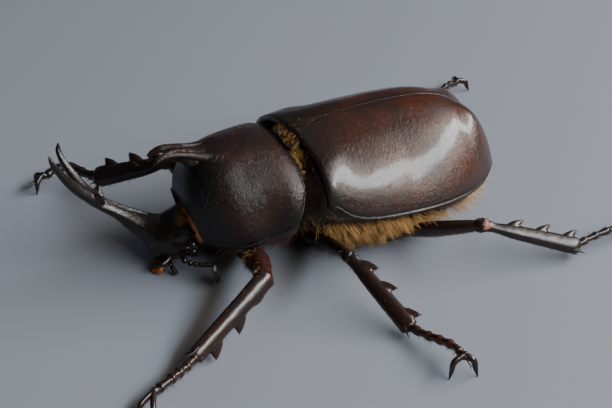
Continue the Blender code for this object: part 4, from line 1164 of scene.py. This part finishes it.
headShell, headHorn, brushBase = makeHead(), makeHorn(), makeBrushBase()
filleted(headShell, headHorn, 1.8)
for side, name in ((1, "left"), (-1, "right")):
    makeEye("eyeball_" + name, "eye_" + name, side)
    makeAntenna("feeler_" + name, "antenna_" + name, side)
    makePalp("mouthFeelers_" + name, "palp_" + name, side)
print("head made")


# Legs, as chains of plates

legs = {
    # body end, knee, ankle, the foot's joints and its two hook tips
    "fore_left": (
        (5.2, -8.6, 3.5), (17.8, -10.4, 6.3), (24.0, -22.1, 1.9),
        ((25.8, -24.2, 1.8), (27.5, -26.6, 1.9), (28.7, -28.6, 1.8)),
        ((30.9, -32.2, 0.0), (32.8, -30.6, 0.0)),
    ),
    "mid_left": (
        (5.6, 1.3, 3.0), (18.0, 1.4, 6.9), (28.8, 5.0, 1.5),
        ((31.6, 5.9, 1.8), (34.3, 6.8, 2.4), (36.7, 7.6, 2.8), (38.2, 7.7, 2.8)),
        ((39.4, 5.6, 0.0), (40.3, 9.1, 0.0)),
    ),
    "hind_left": (
        (8.0, 11.0, 2.7), (17.4, 21.6, 6.2), (21.6, 34.0, 2.0),
        ((21.1, 36.7, 2.3), (20.6, 39.6, 2.4), (20.2, 42.1, 2.2), (20.0, 43.6, 1.8)),
        ((18.6, 45.9, 0.0), (21.2, 46.2, 0.0)),
    ),
    "fore_right": (
        (-5.2, -8.6, 3.5), (-14.4, -13.2, 8.1), (-23.2, -22.1, 3.2),
        ((-26.0, -23.4, 2.6), (-28.6, -25.2, 2.9), (-29.3, -27.6, 2.6), (-29.1, -28.8, 2.1)),
        ((-27.3, -31.1, 0.0), (-30.6, -30.6, 0.0)),
    ),
    "mid_right": (
        (-5.6, 1.3, 3.0), (-15.8, 6.2, 8.0), (-22.6, 11.0, 1.7),
        ((-24.4, 12.3, 1.9), (-26.4, 13.7, 2.2), (-28.1, 14.8, 2.0), (-29.0, 15.3, 1.7)),
        ((-31.3, 15.1, 0.0), (-29.8, 17.6, 0.0)),
    ),
    "hind_right": (
        (-8.0, 11.0, 2.7), (-15.0, 23.8, 6.5), (-24.3, 34.4, 4.0),
        ((-26.3, 36.6, 3.6), (-28.4, 38.9, 3.3), (-30.2, 41.0, 2.7), (-31.1, 42.1, 2.1)),
        ((-31.4, 44.9, 0.0), (-34.1, 43.2, 0.0)),
    ),
}
legSizes = {
    # half sizes across the bending plane and in it, the thigh's bow, the width of the membrane at the
    # knee, the shin's spurs, the places of its teeth, how far they reach out and their width, and the
    # foot's joints at neck and rim
    "fore": {
        "femur": (1.2, 1.55), "bow": 0.35, "band": 1.0, "tibia": (0.95, 1.35), "apex": (0.88, 1.2),
        "spurs": 2,
        "teeth": (0.87, 0.53, 0.26), "reach": (1.2, 1.2, 0.15), "toothWidth": 1.55, "foot": (0.54, 0.8),
    },
    "fore_right": {"tibia": (0.8, 0.95), "apex": (0.95, 1.6)},
    "mid": {
        "femur": (0.95, 1.3), "bow": 0.0, "band": 1.0, "tibia": (0.66, 0.92), "apex": (0.85, 1.2), "spurs": 3,
        "teeth": (0.96, 0.58, 0.28), "reach": (1.05, 0.95, 0.8), "toothWidth": 1.2, "foot": (0.42, 0.7),
    },
    "hind": {
        "femur": (1.05, 1.3), "bow": -0.35, "band": 1.55, "tibia": (0.62, 0.78), "apex": (0.85, 1.2),
        "spurs": 3, "teeth": (0.96, 0.67, 0.38), "reach": (1.1, 1.0, 0.8), "toothWidth": 1.05,
        "foot": (0.38, 0.64),
    },
}
teethTurn = {
    "fore_left": 80, "mid_left": 80, "hind_left": 75,
    "fore_right": -15, "mid_right": -80, "hind_right": -75,
}
legShape = {
    "voxel": 0.11, "smoothing": 3, "hills": 0.016, "hillSize": 0.9,
    # reach and half sizes of the hip and of the collar where the thigh starts
    "hip": ((-2.0, 1.5, 1.6), (0.4, 1.6, 1.75), (2.2, 1.25, 1.4), (3.3, 0.9, 1.0)), "hipVoxel": 0.14,
    "collar": ((2.7, 0.8, 0.88), (3.4, 1.12, 1.232), (3.9, 0.95, 1.045)),
    # place along the thigh and share of its half sizes
    "thigh": ((0.2, 0.55), (0.36, 0.92), (0.52, 1.02), (0.7, 0.9), (0.86, 0.74), (1.0, 0.66)),
    "flap": ((0, 0.5), (0.6, 0.52), (1, 0.36)), "edgeGroove": 0.12, "edgeAt": 0.93, "edgeWidth": 0.02,
    "kneeSkin": ((-0.1, 0.46), (0.1, 0.6), (0.5, 0.6), (0.7, 0.46)),
    # place along the shin and how far it has grown from the size at its base to the one at its apex
    "shin": ((0.0, -0.05), (0.06, 0.1), (0.14, -0.2), (0.35, 0.5), (0.75, 0.9), (0.94, 1.05), (1.0, 0.9)),
    "toothClearance": 0.25, "toothEdge": 0.5, "leastReach": 0.5,
    # turn and length of each spur
    "spurs": ((-1, 2.2), (1, 1.5), (-0.3, 1.1)), "spurSize": 0.24,
    "rimSpines": 6, "spineLength": 0.62, "spineSize": 0.11,
    "footJoints": (0.0, 0.19, 0.36, 0.53, 0.7, 1.0), "footSteps": 64, "lastJoint": 0.9,
    "footSpines": (-0.75, -0.25, 0.25, 0.75), "footSpineSize": 0.08,
    "hookRoot": ((-0.5, 0.34, 0.34), (0.1, 0.44, 0.44), (0.7, 0.54, 0.54), (1.05, 0.44, 0.44)),
    "stalk": 1.5, "stalkSize": 0.14, "bristle": 0.9, "bristleSize": 0.06,
}
redParts = ("thigh_fore_left", "foot_mid_left")
upward = Vector((0, 0, 1))
teethWays = {}


def legRelief(spot, normal):
    return legShape["hills"] * noise.noise(spot / legShape["hillSize"])


def legFinish(name):
    return finishes["legRed" if name in redParts else "legBrown"]


def rowsAlong(start, way, sizes):
    return [(*(start + way * reach), across, deep) for reach, across, deep in sizes]


def makeHip(leg, root, along, plane):
    shape = legShape
    forms = [
        tubeForm(smoothRows(rowsAlong(root, along, shape["hip"]), 18), 26, plane, square=0.95),
        tubeForm(smoothRows(rowsAlong(root, along, shape["collar"]), 8), 24, plane),
    ]
    name = "hip_" + leg
    moulded(
        name, forms, shape["hipVoxel"], shape["smoothing"], legFinish(name), ["coxa_" + leg],
        legRelief)


def makeThigh(leg, root, knee, ankle, plane, sizes):
    shape = legShape
    across, deep = sizes["femur"]
    along = (knee - root).normalized()
    length = (knee - root).length
    fold = along.cross(plane)
    rows = []
    for place, thick in shape["thigh"]:
        centre = root + along * length * place + fold * sizes["bow"] * math.sin(math.pi * place)
        rows.append((*centre, across * (0.35 + 0.65 * thick), deep * thick))
    forms = [tubeForm(smoothRows(rows, 34), 34, plane, square=0.9)]
    shin = (ankle - knee).normalized()
    # two flaps hold the shin
    for turn in (-1, 1):
        start = knee - along * 0.9 + plane * turn * across * 0.5
        end = knee + along * 0.35 + shin * 0.2 + plane * turn * across * 0.62
        flap = [(*start.lerp(end, place), size, size) for place, size in shape["flap"]]
        forms.append(tubeForm(smoothRows(flap, 10), 16, plane))

    def relief(spot, normal):
        # a groove runs round the thigh before the knee
        reach = (spot - root).dot(along) / length
        edge = math.exp(-((reach - shape["edgeAt"]) / shape["edgeWidth"]) ** 2)
        return legRelief(spot, normal) - shape["edgeGroove"] * edge

    name = "thigh_" + leg
    moulded(name, forms, shape["voxel"], shape["smoothing"], legFinish(name), ["femur_" + leg], relief)
    skin = [(reach, size * sizes["band"], size * sizes["band"]) for reach, size in shape["kneeSkin"]]
    form = tubeForm(smoothRows(rowsAlong(knee, shin, skin), 16), 26, plane)
    newPiece("kneeSkin_" + leg, form, finishes["membrane"])


def makeShin(leg, knee, ankle, plane, sizes):
    shape = legShape
    baseAcross, baseDeep = sizes["tibia"]
    apexAcross, apexDeep = sizes["apex"]
    along = (ankle - knee).normalized()
    length = (ankle - knee).length
    turn = math.radians(teethTurn[leg])
    outward = along.cross(plane).normalized() * math.cos(turn) + plane * math.sin(turn)
    flat = outward.cross(along)
    teethWays[leg] = outward
    rows = []
    for place, grow in shape["shin"]:
        across, deep = baseAcross + (apexAcross - baseAcross) * grow, baseDeep + (apexDeep - baseDeep) * grow
        rows.append((*(knee + along * length * place), across, deep))
    forms = [tubeForm(smoothRows(rows, 46), 30, flat, square=0.94)]
    sharp = []
    for place, reach in zip(sizes["teeth"], sizes["reach"]):
        foot = knee + along * (length * place - 0.9) + outward * apexDeep * 0.3
        tip = knee + along * (length * place + 0.35) + outward * (apexDeep * 0.85 + reach)
        tip = keptOver(tip, shape["toothClearance"])
        forms.append(thornForm(
            foot, tip, sizes["toothWidth"], -along * 0.18, sides=18, flat=0.52, steps=14, tipShare=0.18))
        if reach > shape["leastReach"]:
            edge = keptOver(tip + (tip - foot) * 0.12, 0.15)
            start = foot.lerp(tip, 0.45)
            sharp.append(thornForm(
                start, edge, shape["toothEdge"], -along * 0.1, sides=14, flat=0.7, steps=10))
    for turn, size in shape["spurs"][:sizes["spurs"]]:
        foot = ankle - along * 0.5 + flat * turn * apexAcross * 0.6 - outward * apexDeep * 0.55
        tip = keptOver(foot + along * size + flat * turn * 0.45 - outward * 0.35, 0.15)
        sharp.append(thornForm(foot, tip, shape["spurSize"], outward * 0.12, sides=12, steps=12))
    for spine in range(shape["rimSpines"]):
        angle = 2 * math.pi * spine / shape["rimSpines"] + 0.4
        side = flat * math.cos(angle) * apexAcross * 0.92 + outward * math.sin(angle) * apexDeep * 0.92
        foot = ankle - along * 0.15 + side
        tip = keptOver(foot + along * shape["spineLength"] + side * 0.1, 0.1)
        sharp.append(thornForm(foot, tip, shape["spineSize"], sides=7, steps=5))
    name = "shin_" + leg
    moulded(
        name, forms, shape["voxel"], shape["smoothing"], legFinish(name), ["tibia_" + leg],
        legRelief, sharp)


def makeFoot(leg, ankle, bow, plane, sizes):
    shape = legShape
    steps = shape["footSteps"]
    way = [Vector(spot) for spot in smoothRows([tuple(ankle), *bow], steps + 1)]
    ends = shape["footJoints"]
    forms = []
    for start, end in zip(ends, ends[1:]):
        slim, flare = (size * (1 if end < 1 else shape["lastJoint"]) for size in sizes["foot"])
        rows = []
        for place, size in (
                (0.0, slim), (0.12, slim * 1.15), (0.5, (slim + flare) / 2), (0.82, flare),
                (0.98, flare * 0.8)):
            spot = way[min(round((start + (end - start) * place) * steps), steps)]
            rows.append((*spot, size * 0.92, size))
        forms.append(tubeForm(smoothRows(rows, 18), 22, plane))
        rim = way[round((start + (end - start) * 0.9) * steps)]
        ahead = (way[min(round(end * steps) + 1, steps)] - way[round(start * steps)]).normalized()
        down = (-upward + ahead * ahead.z).normalized()
        across = ahead.cross(down)
        for share in shape["footSpines"]:
            foot = rim + (down * (1 - abs(share) * 0.5) + across * share) * flare * 0.72
            tip = keptOver(foot + ahead * 0.5 + down * 0.2 + across * share * 0.2, 0.08)
            forms.append(thornForm(foot, tip, shape["footSpineSize"], sides=7, steps=5))
    name = "foot_" + leg
    newPiece(name, joinedForm(forms), legFinish(name), ["tarsus_" + leg])


def makeHooks(leg, before, joint, tips):
    shape = legShape
    heading = Vector((joint.x - before.x, joint.y - before.y, 0)).normalized()
    forms = [tubeForm(smoothRows(rowsAlong(joint, heading, shape["hookRoot"]), 14), 20, upward)]
    start = joint + heading * 0.9
    for tip in tips:
        tip = Vector(tip)
        out = tip - start
        knuckle = start + Vector((out.x * 0.65, out.y * 0.65, out.z * 0.12))
        end = tip + upward * 0.1
        rows = (
            (*(start - out.normalized() * 0.3), 0.4, 0.48), (*knuckle, 0.37, 0.45),
            (*knuckle.lerp(end, 0.55), 0.27, 0.32), (*end, 0.08, 0.09),
        )
        forms.append(tubeForm(smoothRows(rows, 26), 16, upward.cross(out).normalized()))
    # between the hooks a stalk ends in two bristles
    stalk = start + heading * shape["stalk"] - upward * 0.45
    forms.append(thornForm(start, stalk, shape["stalkSize"], upward * 0.1, steps=8, tipShare=0.6))
    for turn in (-1, 1):
        tip = stalk + heading * shape["bristle"] + heading.cross(upward) * turn * 0.4 - upward * 0.2
        forms.append(thornForm(stalk, tip, shape["bristleSize"], sides=6, steps=6))
    newPiece("hooks_" + leg, joinedForm(forms), finishes["legBrown"], ["claws_" + leg])


def makeLeg(leg):
    root, knee, ankle, bow, tips = legs[leg]
    root, knee, ankle = Vector(root), Vector(knee), Vector(ankle)
    sizes = {**legSizes[leg.split("_")[0]], **legSizes.get(leg, {})}
    plane = (knee - root).cross(ankle - knee).normalized()
    makeHip(leg, root, (knee - root).normalized(), plane)
    makeThigh(leg, root, knee, ankle, plane, sizes)
    makeShin(leg, knee, ankle, plane, sizes)
    makeFoot(leg, ankle, bow, plane, sizes)
    makeHooks(leg, Vector(bow[-2]), Vector(bow[-1]), tips)


for leg in legs:
    makeLeg(leg)
print("legs made")


# Hair, each one a thin tapered solid

dice = np.random.default_rng(11)
hairShape = {
    # places along a hair and how thick it is there
    "places": (0.0, 0.4, 0.75, 1.0), "taper": (1.0, 0.85, 0.55, 0.12), "sides": 3,
    "rootDepth": 0.12, "clumpReach": 0.6, "bendStray": 0.5, "toneSpread": 0.28, "lowest": 0.05,
    # each hair's patch of the sheet, and the room kept for it
    "patch": 0.003, "patchRoom": 0.004,
}
hairPlaces = np.array(hairShape["places"])


def unit(values):
    return values / np.maximum(np.linalg.norm(values, axis=-1, keepdims=True), 1e-9)


def scatter(piece, count, density):
    # roots spread over a piece, as places and normals in mm from the waist
    mesh = piece.data
    mesh.calc_loop_triangles()
    flatPoints = np.empty(len(mesh.vertices) * 3, np.float32)
    mesh.vertices.foreach_get("co", flatPoints)
    points = flatPoints.reshape(-1, 3) / mm - np.array([centreX, waistY, 0.0])
    corners = np.empty(len(mesh.loop_triangles) * 3, np.int32)
    mesh.loop_triangles.foreach_get("vertices", corners)
    a, b, c = (points[corners.reshape(-1, 3)[:, i]] for i in range(3))
    cross = np.cross(b - a, c - a)
    area = np.linalg.norm(cross, axis=1)
    normal = unit(cross)
    weight = area * np.clip(density((a + b + c) / 3, normal), 0, None)
    chosen = dice.choice(len(weight), count, p=weight / weight.sum())
    s, t = dice.random((2, count, 1))
    over = s + t > 1
    s, t = np.where(over, 1 - s, s), np.where(over, 1 - t, t)
    return a[chosen] + (b - a)[chosen] * s + (c - a)[chosen] * t, normal[chosen]


def unwrapped(spots, start, end, area):
    # each root's place on an unrolled sheet of its carrier, around and along its length
    start, end = np.array(start, float), np.array(end, float)
    axis = unit(end - start)
    across = unit(np.cross(axis, (0.31, 0.17, 0.93)))
    rise = np.cross(axis, across)
    away = spots - start
    angle = np.arctan2(away @ rise, away @ across) / (2 * math.pi) + 0.5
    reach = np.clip(away @ axis / np.linalg.norm(end - start), 0, 1)
    low, high = np.array(area[:2]), np.array(area[2:])
    return low + np.stack([angle, reach], axis=1) * (high - low - hairShape["patchRoom"])


plainHair = {"free": 0.0, "droop": 0.2, "tuft": 10, "gather": 0.5, "tone": 0.4}
fringeLooks = {
    "flank": {"length": (0.9, 2.6), "width": 0.03, "stand": 0.5, "stray": 0.17, "curl": 0.35, "droop": 0.6,
              "tuft": 26, "gather": 0.72, "tone": 0.35},
    "waist": {"length": (0.8, 1.7), "width": 0.03, "stand": 0.8, "stray": 0.2, "curl": 0.35, "droop": 0.0,
              "tone": 0.35},
    "plate": {"length": (0.4, 0.9), "width": 0.026, "stand": 0.25, "stray": 0.22, "curl": 0.3, "droop": 0.1,
              "tuft": 14, "gather": 0.6},
    "collar": {"length": (0.3, 0.65), "width": 0.022, "stand": 0.35, "stray": 0.16, "curl": 0.35,
               "droop": 0.6, "tuft": 8},
    "breast": {"length": (0.8, 1.8), "width": 0.03, "stand": 0.5, "stray": 0.22, "curl": 0.4, "tone": 0.5},
    "tail": {"length": (0.6, 1.3), "width": 0.03, "stand": 0.5, "stray": 0.2, "curl": 0.3, "tuft": 8},
    "leg": {"length": (0.35, 0.9), "width": 0.025, "stand": 0.42, "stray": 0.2, "curl": 0.3, "tuft": 5,
            "gather": 0.3, "tone": 0.5},
    "bristle": {"length": (0.4, 0.9), "width": 0.035, "stand": 0.6, "stray": 0.15, "curl": 0.2, "tuft": 2,
                "gather": 0.0, "tone": 0.5},
    "mouth": {"length": (0.3, 0.65), "width": 0.026, "stand": 0.45, "stray": 0.2, "curl": 0.3, "droop": 0.4,
              "tuft": 16, "gather": 0.45, "free": 1.0, "tone": 0.35},
    "socket": {"length": (0.5, 1.1), "width": 0.028, "stand": 0.6, "stray": 0.3, "curl": 0.3, "tuft": 12,
               "tone": 0.75},
}
hairCounts = {
    "flank": 10000, "rear": 1600, "waist": 900, "plate": 900, "belly": 1800, "breast": 600, "neck": 1100,
    "rearEdge": 360, "tail": 700, "socket": 200, "thigh": 160, "foreThigh": 700, "hip": 160, "shinRows": 60,
    "shinUnder": 50, "foot": 60, "mouth": 1100,
}
# start, end and sheet area of the carriers that hair is unrolled on
bodySheet = ((0, -18, 7), (0, 31, 7), (0.0, 0.0, 0.5, 1.0))
mouthSheet = ((0, -18, 2), (2, -24, 1), (0.0, 0.0, 0.5, 1.0))


def hairTuft(roots, lay, carrier, lookName):
    # numbers for one group of hairs: points along each hair, their half widths, tones and sheet places
    shape, look = hairShape, {**plainHair, **fringeLooks[lookName]}
    spots, normals = roots
    count = len(spots)
    lay = unit(np.broadcast_to(np.asarray(lay, float), spots.shape))
    lay = unit(lay - normals * (lay * normals).sum(1, keepdims=True) * (1 - look["free"]))
    stand = look["stand"] * (0.7 + 0.6 * dice.random((count, 1)))
    way = unit(lay * (1 - stand) + normals * stand + dice.normal(0, look["stray"], (count, 3)))
    length = dice.uniform(*look["length"], (count, 1))
    fallen = lay + dice.normal(0, shape["bendStray"], (count, 3)) - np.array([0, 0, look["droop"]])
    bend = unit(fallen) * look["curl"]
    line = spots[:, None] - normals[:, None] * shape["rootDepth"] + (
        way[:, None] * hairPlaces[None, :, None] + bend[:, None] * (hairPlaces ** 2)[None, :, None]
    ) * length[:, None]
    heads = dice.choice(count, max(count // look["tuft"], 1), replace=False)
    nearest = np.empty(count, int)
    for first in range(0, count, 2000):
        apart = ((spots[first:first + 2000, None] - spots[heads][None]) ** 2).sum(2)
        nearest[first:first + 2000] = heads[apart.argmin(1)]
    close = np.linalg.norm(spots - spots[nearest], axis=1, keepdims=True) < shape["clumpReach"]
    pull = look["gather"] * close * (hairPlaces ** 2)[None, :]
    line = line + (line[nearest, 3] - line[:, 3])[:, None] * pull[..., None]
    line[..., 2] = np.maximum(line[..., 2], shape["lowest"])
    width = look["width"] * dice.uniform(0.75, 1.25, (count, 1)) * np.array(shape["taper"])
    spread = shape["toneSpread"]
    tone = np.clip(dice.normal(look["tone"], spread, count) + spread * np.sin(nearest * 1.7), 0, 1)
    return line, width, tone, unwrapped(spots, *carrier)


def hairPiece(name, tufts, finish):
    line, width, tone, sheet = (np.concatenate(values) for values in zip(*tufts))
    count, sides = len(line), hairShape["sides"]
    size = len(hairPlaces) * sides
    way = unit(line[:, 3] - line[:, 0])
    across = unit(np.cross(way, dice.normal(0, 1, (count, 3))))
    rise = np.cross(way, across)
    angles = 2 * math.pi * np.arange(sides) / sides
    around = across[:, None] * np.cos(angles)[None, :, None] + rise[:, None] * np.sin(angles)[None, :, None]
    points = line[:, :, None] + around[:, None] * width[:, :, None, None]
    points[..., 2] = np.maximum(points[..., 2], 0.01)
    points = ((points + np.array([centreX, waistY, 0.0])) * mm).reshape(-1, 3)
    first = (np.arange(count) * size)[:, None, None]
    single = [
        (low + i, low + (i + 1) % sides, low + sides + (i + 1) % sides, low + sides + i)
        for low in range(0, size - sides, sides) for i in range(sides)
    ]
    quads = (first + np.array(single)).reshape(-1, 4)
    ends = (first + np.array([(2, 1, 0), (size - 3, size - 2, size - 1)])).reshape(-1, 3)
    corner = np.concatenate([quads.ravel(), ends.ravel()])
    starts = np.concatenate([np.arange(len(quads)) * 4, quads.size + np.arange(len(ends)) * 3])
    mesh = bpy.data.meshes.new(name)
    mesh.vertices.add(len(points))
    mesh.vertices.foreach_set("co", points.astype(np.float32).ravel())
    mesh.loops.add(len(corner))
    mesh.loops.foreach_set("vertex_index", corner.astype(np.int32))
    mesh.polygons.add(len(starts))
    mesh.polygons.foreach_set("loop_start", starts.astype(np.int32))
    mesh.update(calc_edges=True)
    mesh.validate()
    own, part = corner // size, corner % size
    patch = np.stack([part % sides / (sides - 1), part // sides / (len(hairPlaces) - 1)], axis=1)
    layer = mesh.uv_layers.new(name="OFBake")
    layer.data.foreach_set("uv", (sheet[own] + patch * hairShape["patch"]).astype(np.float32).ravel())
    setMarks(mesh, "tone", np.repeat(tone, size))
    setMarks(mesh, "reach", np.tile(np.repeat(hairPlaces, sides), count))
    mesh.shade_smooth()
    mesh.materials.append(finish)
    piece = newObject(name, mesh)
    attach(piece, "root")
    return piece


def makeBodyHair():
    def flank(spot, normal):
        x, y, z = spot.T
        side = np.clip((np.abs(x) - 5) / 3, 0, 1)
        band = np.clip((7.7 - z) / 0.6, 0, 1) * np.clip((z - 2.4) / 2.2, 0, 1)
        return side * band * (0.06 + bell(y, 6.0, 5.5)) * np.clip((y - 0.4) / 1.5, 0, 1)

    def waist(spot, normal):
        x, y, z = spot.T
        return bell(y, -0.25, 0.55) * np.clip((z - 14.2) / 1.0, 0, 1) * (0.12 + bell(x, 2.5, 2.5))

    def plate(spot, normal):
        return np.clip(normal[:, 2], 0, 1) * bell(spot[:, 1], -0.7, 0.9)

    def belly(spot, normal):
        return np.clip(-normal[:, 2], 0, 1) * (0.3 + bell(spot[:, 1], 3, 5))

    # carrier, where its hair is dense, how the hair lies and its look
    fringes = {
        "flank": (thoraxShell, flank, (0.0, 0.5, -0.8), "flank"),
        "rear": (abdomenShell, flank, (0.0, 0.8, -0.5), "flank"),
        "waist": (thoraxShell, waist, (0.0, 0.9, 0.45), "waist"),
        "plate": (scutellumShell, plate, (0.1, 1.0, 0.1), "plate"),
        "belly": (thoraxShell, belly, (0.0, 1.0, -0.1), "breast"),
    }
    roots = {key: scatter(carrier, hairCounts[key], dense) for key, (carrier, dense, _, _) in fringes.items()}
    tufts = []
    for key, (_, _, lay, look) in fringes.items():
        away = np.sign(roots[key][0][:, :1]) * np.array([[0.55, 0.0, 0.0]])
        tufts.append(hairTuft(roots[key], away + np.array(lay), bodySheet, look))
    hairPiece("flankHair", tufts[:1], finishes["goldHair"])
    hairPiece("bellyHair", tufts[1:], finishes["goldHair"])


def makeBreastHair():
    arc = shieldShape["arc"]

    def low(spot, normal):
        return np.clip(-normal[:, 2] + 0.35, 0, 1) * np.clip((7.0 - spot[:, 2]) / 2.0, 0, 1)

    breast = hairTuft(scatter(breastPlate, hairCounts["breast"], low), (0.0, -0.7, -0.5), bodySheet, "breast")
    # a fringe behind the head and one along the shield's rear edge, rooted on its own rows
    count = hairCounts["neck"]
    at = (dice.normal(0.28, 0.14, count) % 1 * arc).astype(int)
    ring = np.array(shieldRing(shieldShape["rows"][-1]))
    spots = ring[at] + dice.normal(0, 0.12, (count, 3)) + np.array([0, 0.15, -0.05])
    normals = unit(spots - np.array([0.0, -13.0, 6.5]))
    collar = hairTuft((spots, normals), (0.0, -0.9, -0.35), bodySheet, "collar")
    count = hairCounts["rearEdge"]
    at = (dice.normal(0.45, 0.06, count) * arc).astype(int)
    ring = np.array(shieldRing(shieldShape["rows"][0]))
    spots = ring[at] * np.array([0.96, 1.0, 0.985])
    spots = spots + dice.normal(0, 0.08, (count, 3)) + np.array([0, 0.25, 0])
    normals = unit(spots * np.array([1, 0, 1]) - np.array([0, 0, 9.0]))
    edge = hairTuft((spots, normals), (0.0, 1.0, 0.1), bodySheet, "collar")
    roots = scatter(tailPlate, hairCounts["tail"], lambda spot, normal: np.clip(normal[:, 1] + 0.2, 0, 1))
    tail = hairTuft(roots, (0.0, 0.6, -0.8), bodySheet, "tail")
    hairPiece("breastHair", [breast], finishes["rustHair"])
    hairPiece("neckHair", [collar], finishes["neckGold"])
    # golden tufts on the front of the near fore leg's thigh
    root, knee = (np.array(spot) for spot in legs["fore_left"][:2])

    def tufted(spot, normal):
        reach = (spot - root) @ unit(knee - root) / np.linalg.norm(knee - root)
        return (bell(reach, 0.36, 0.1) + 0.6 * bell(reach, 0.84, 0.06)) * np.clip(-normal[:, 1], 0, 1)

    roots = scatter(bpy.data.objects["thigh_fore_left"], hairCounts["socket"], tufted)
    socket = hairTuft(roots, (0.5, -0.8, 0.1), bodySheet, "socket")
    hairPiece("edgeHair", [edge, tail, socket], finishes["goldHair"])


def makeLegHair():
    fine, stiff = [], []

    def under(least):
        return lambda spot, normal: least + np.clip(-normal[:, 2], 0, 1)

    for index, leg in enumerate(legs):
        root, knee, ankle = (Vector(spot) for spot in legs[leg][:3])
        toe = Vector(legs[leg][3][-1])
        hipEnds = (root - (knee - root) * 0.2, root + (knee - root) * 0.3)
        sheet = (0.5 + 0.08 * index, 0.0, 0.58 + 0.08 * index, 1.0)
        outward = np.array(teethWays[leg])

        def rows(spot, normal):
            return bell(normal @ outward, 0.35, 0.3) + 0.7 * bell(normal @ outward, -0.75, 0.3)

        thighCount = hairCounts["foreThigh" if leg == "fore_left" else "thigh"]
        for group, part, count, dense, way, ends, look in (
                (fine, "thigh", thighCount, under(0.25), knee - root, (root, knee), "leg"),
                (fine, "hip", hairCounts["hip"], under(0.25), knee - root, hipEnds, "leg"),
                (stiff, "shin", hairCounts["shinRows"], rows, ankle - knee, (knee, ankle), "bristle"),
                (fine, "shin", hairCounts["shinUnder"], under(0.2), ankle - knee, (knee, ankle), "leg"),
                (stiff, "foot", hairCounts["foot"], under(0.15), toe - ankle, (ankle, toe), "bristle")):
            roots = scatter(bpy.data.objects[part + "_" + leg], count, dense)
            group.append(hairTuft(roots, tuple(way), (*ends, sheet), look))
    hairPiece("legHair", fine, finishes["rustHair"])
    hairPiece("legBristles", stiff, finishes["rustHair"])


def makeMouthHair():
    def outer(spot, normal):
        return np.clip(0.4 - normal[:, 2] - normal[:, 1], 0, 2)

    ahead = headFrame.to_3x3() @ Vector((0.45, -1.0, -0.75))
    tuft = hairTuft(scatter(brushBase, hairCounts["mouth"], outer), tuple(ahead), mouthSheet, "mouth")
    hairPiece("mouthHair", [tuft], finishes["orangeHair"])


makeBodyHair()
makeBreastHair()
makeLegHair()
makeMouthHair()
print("hair made")
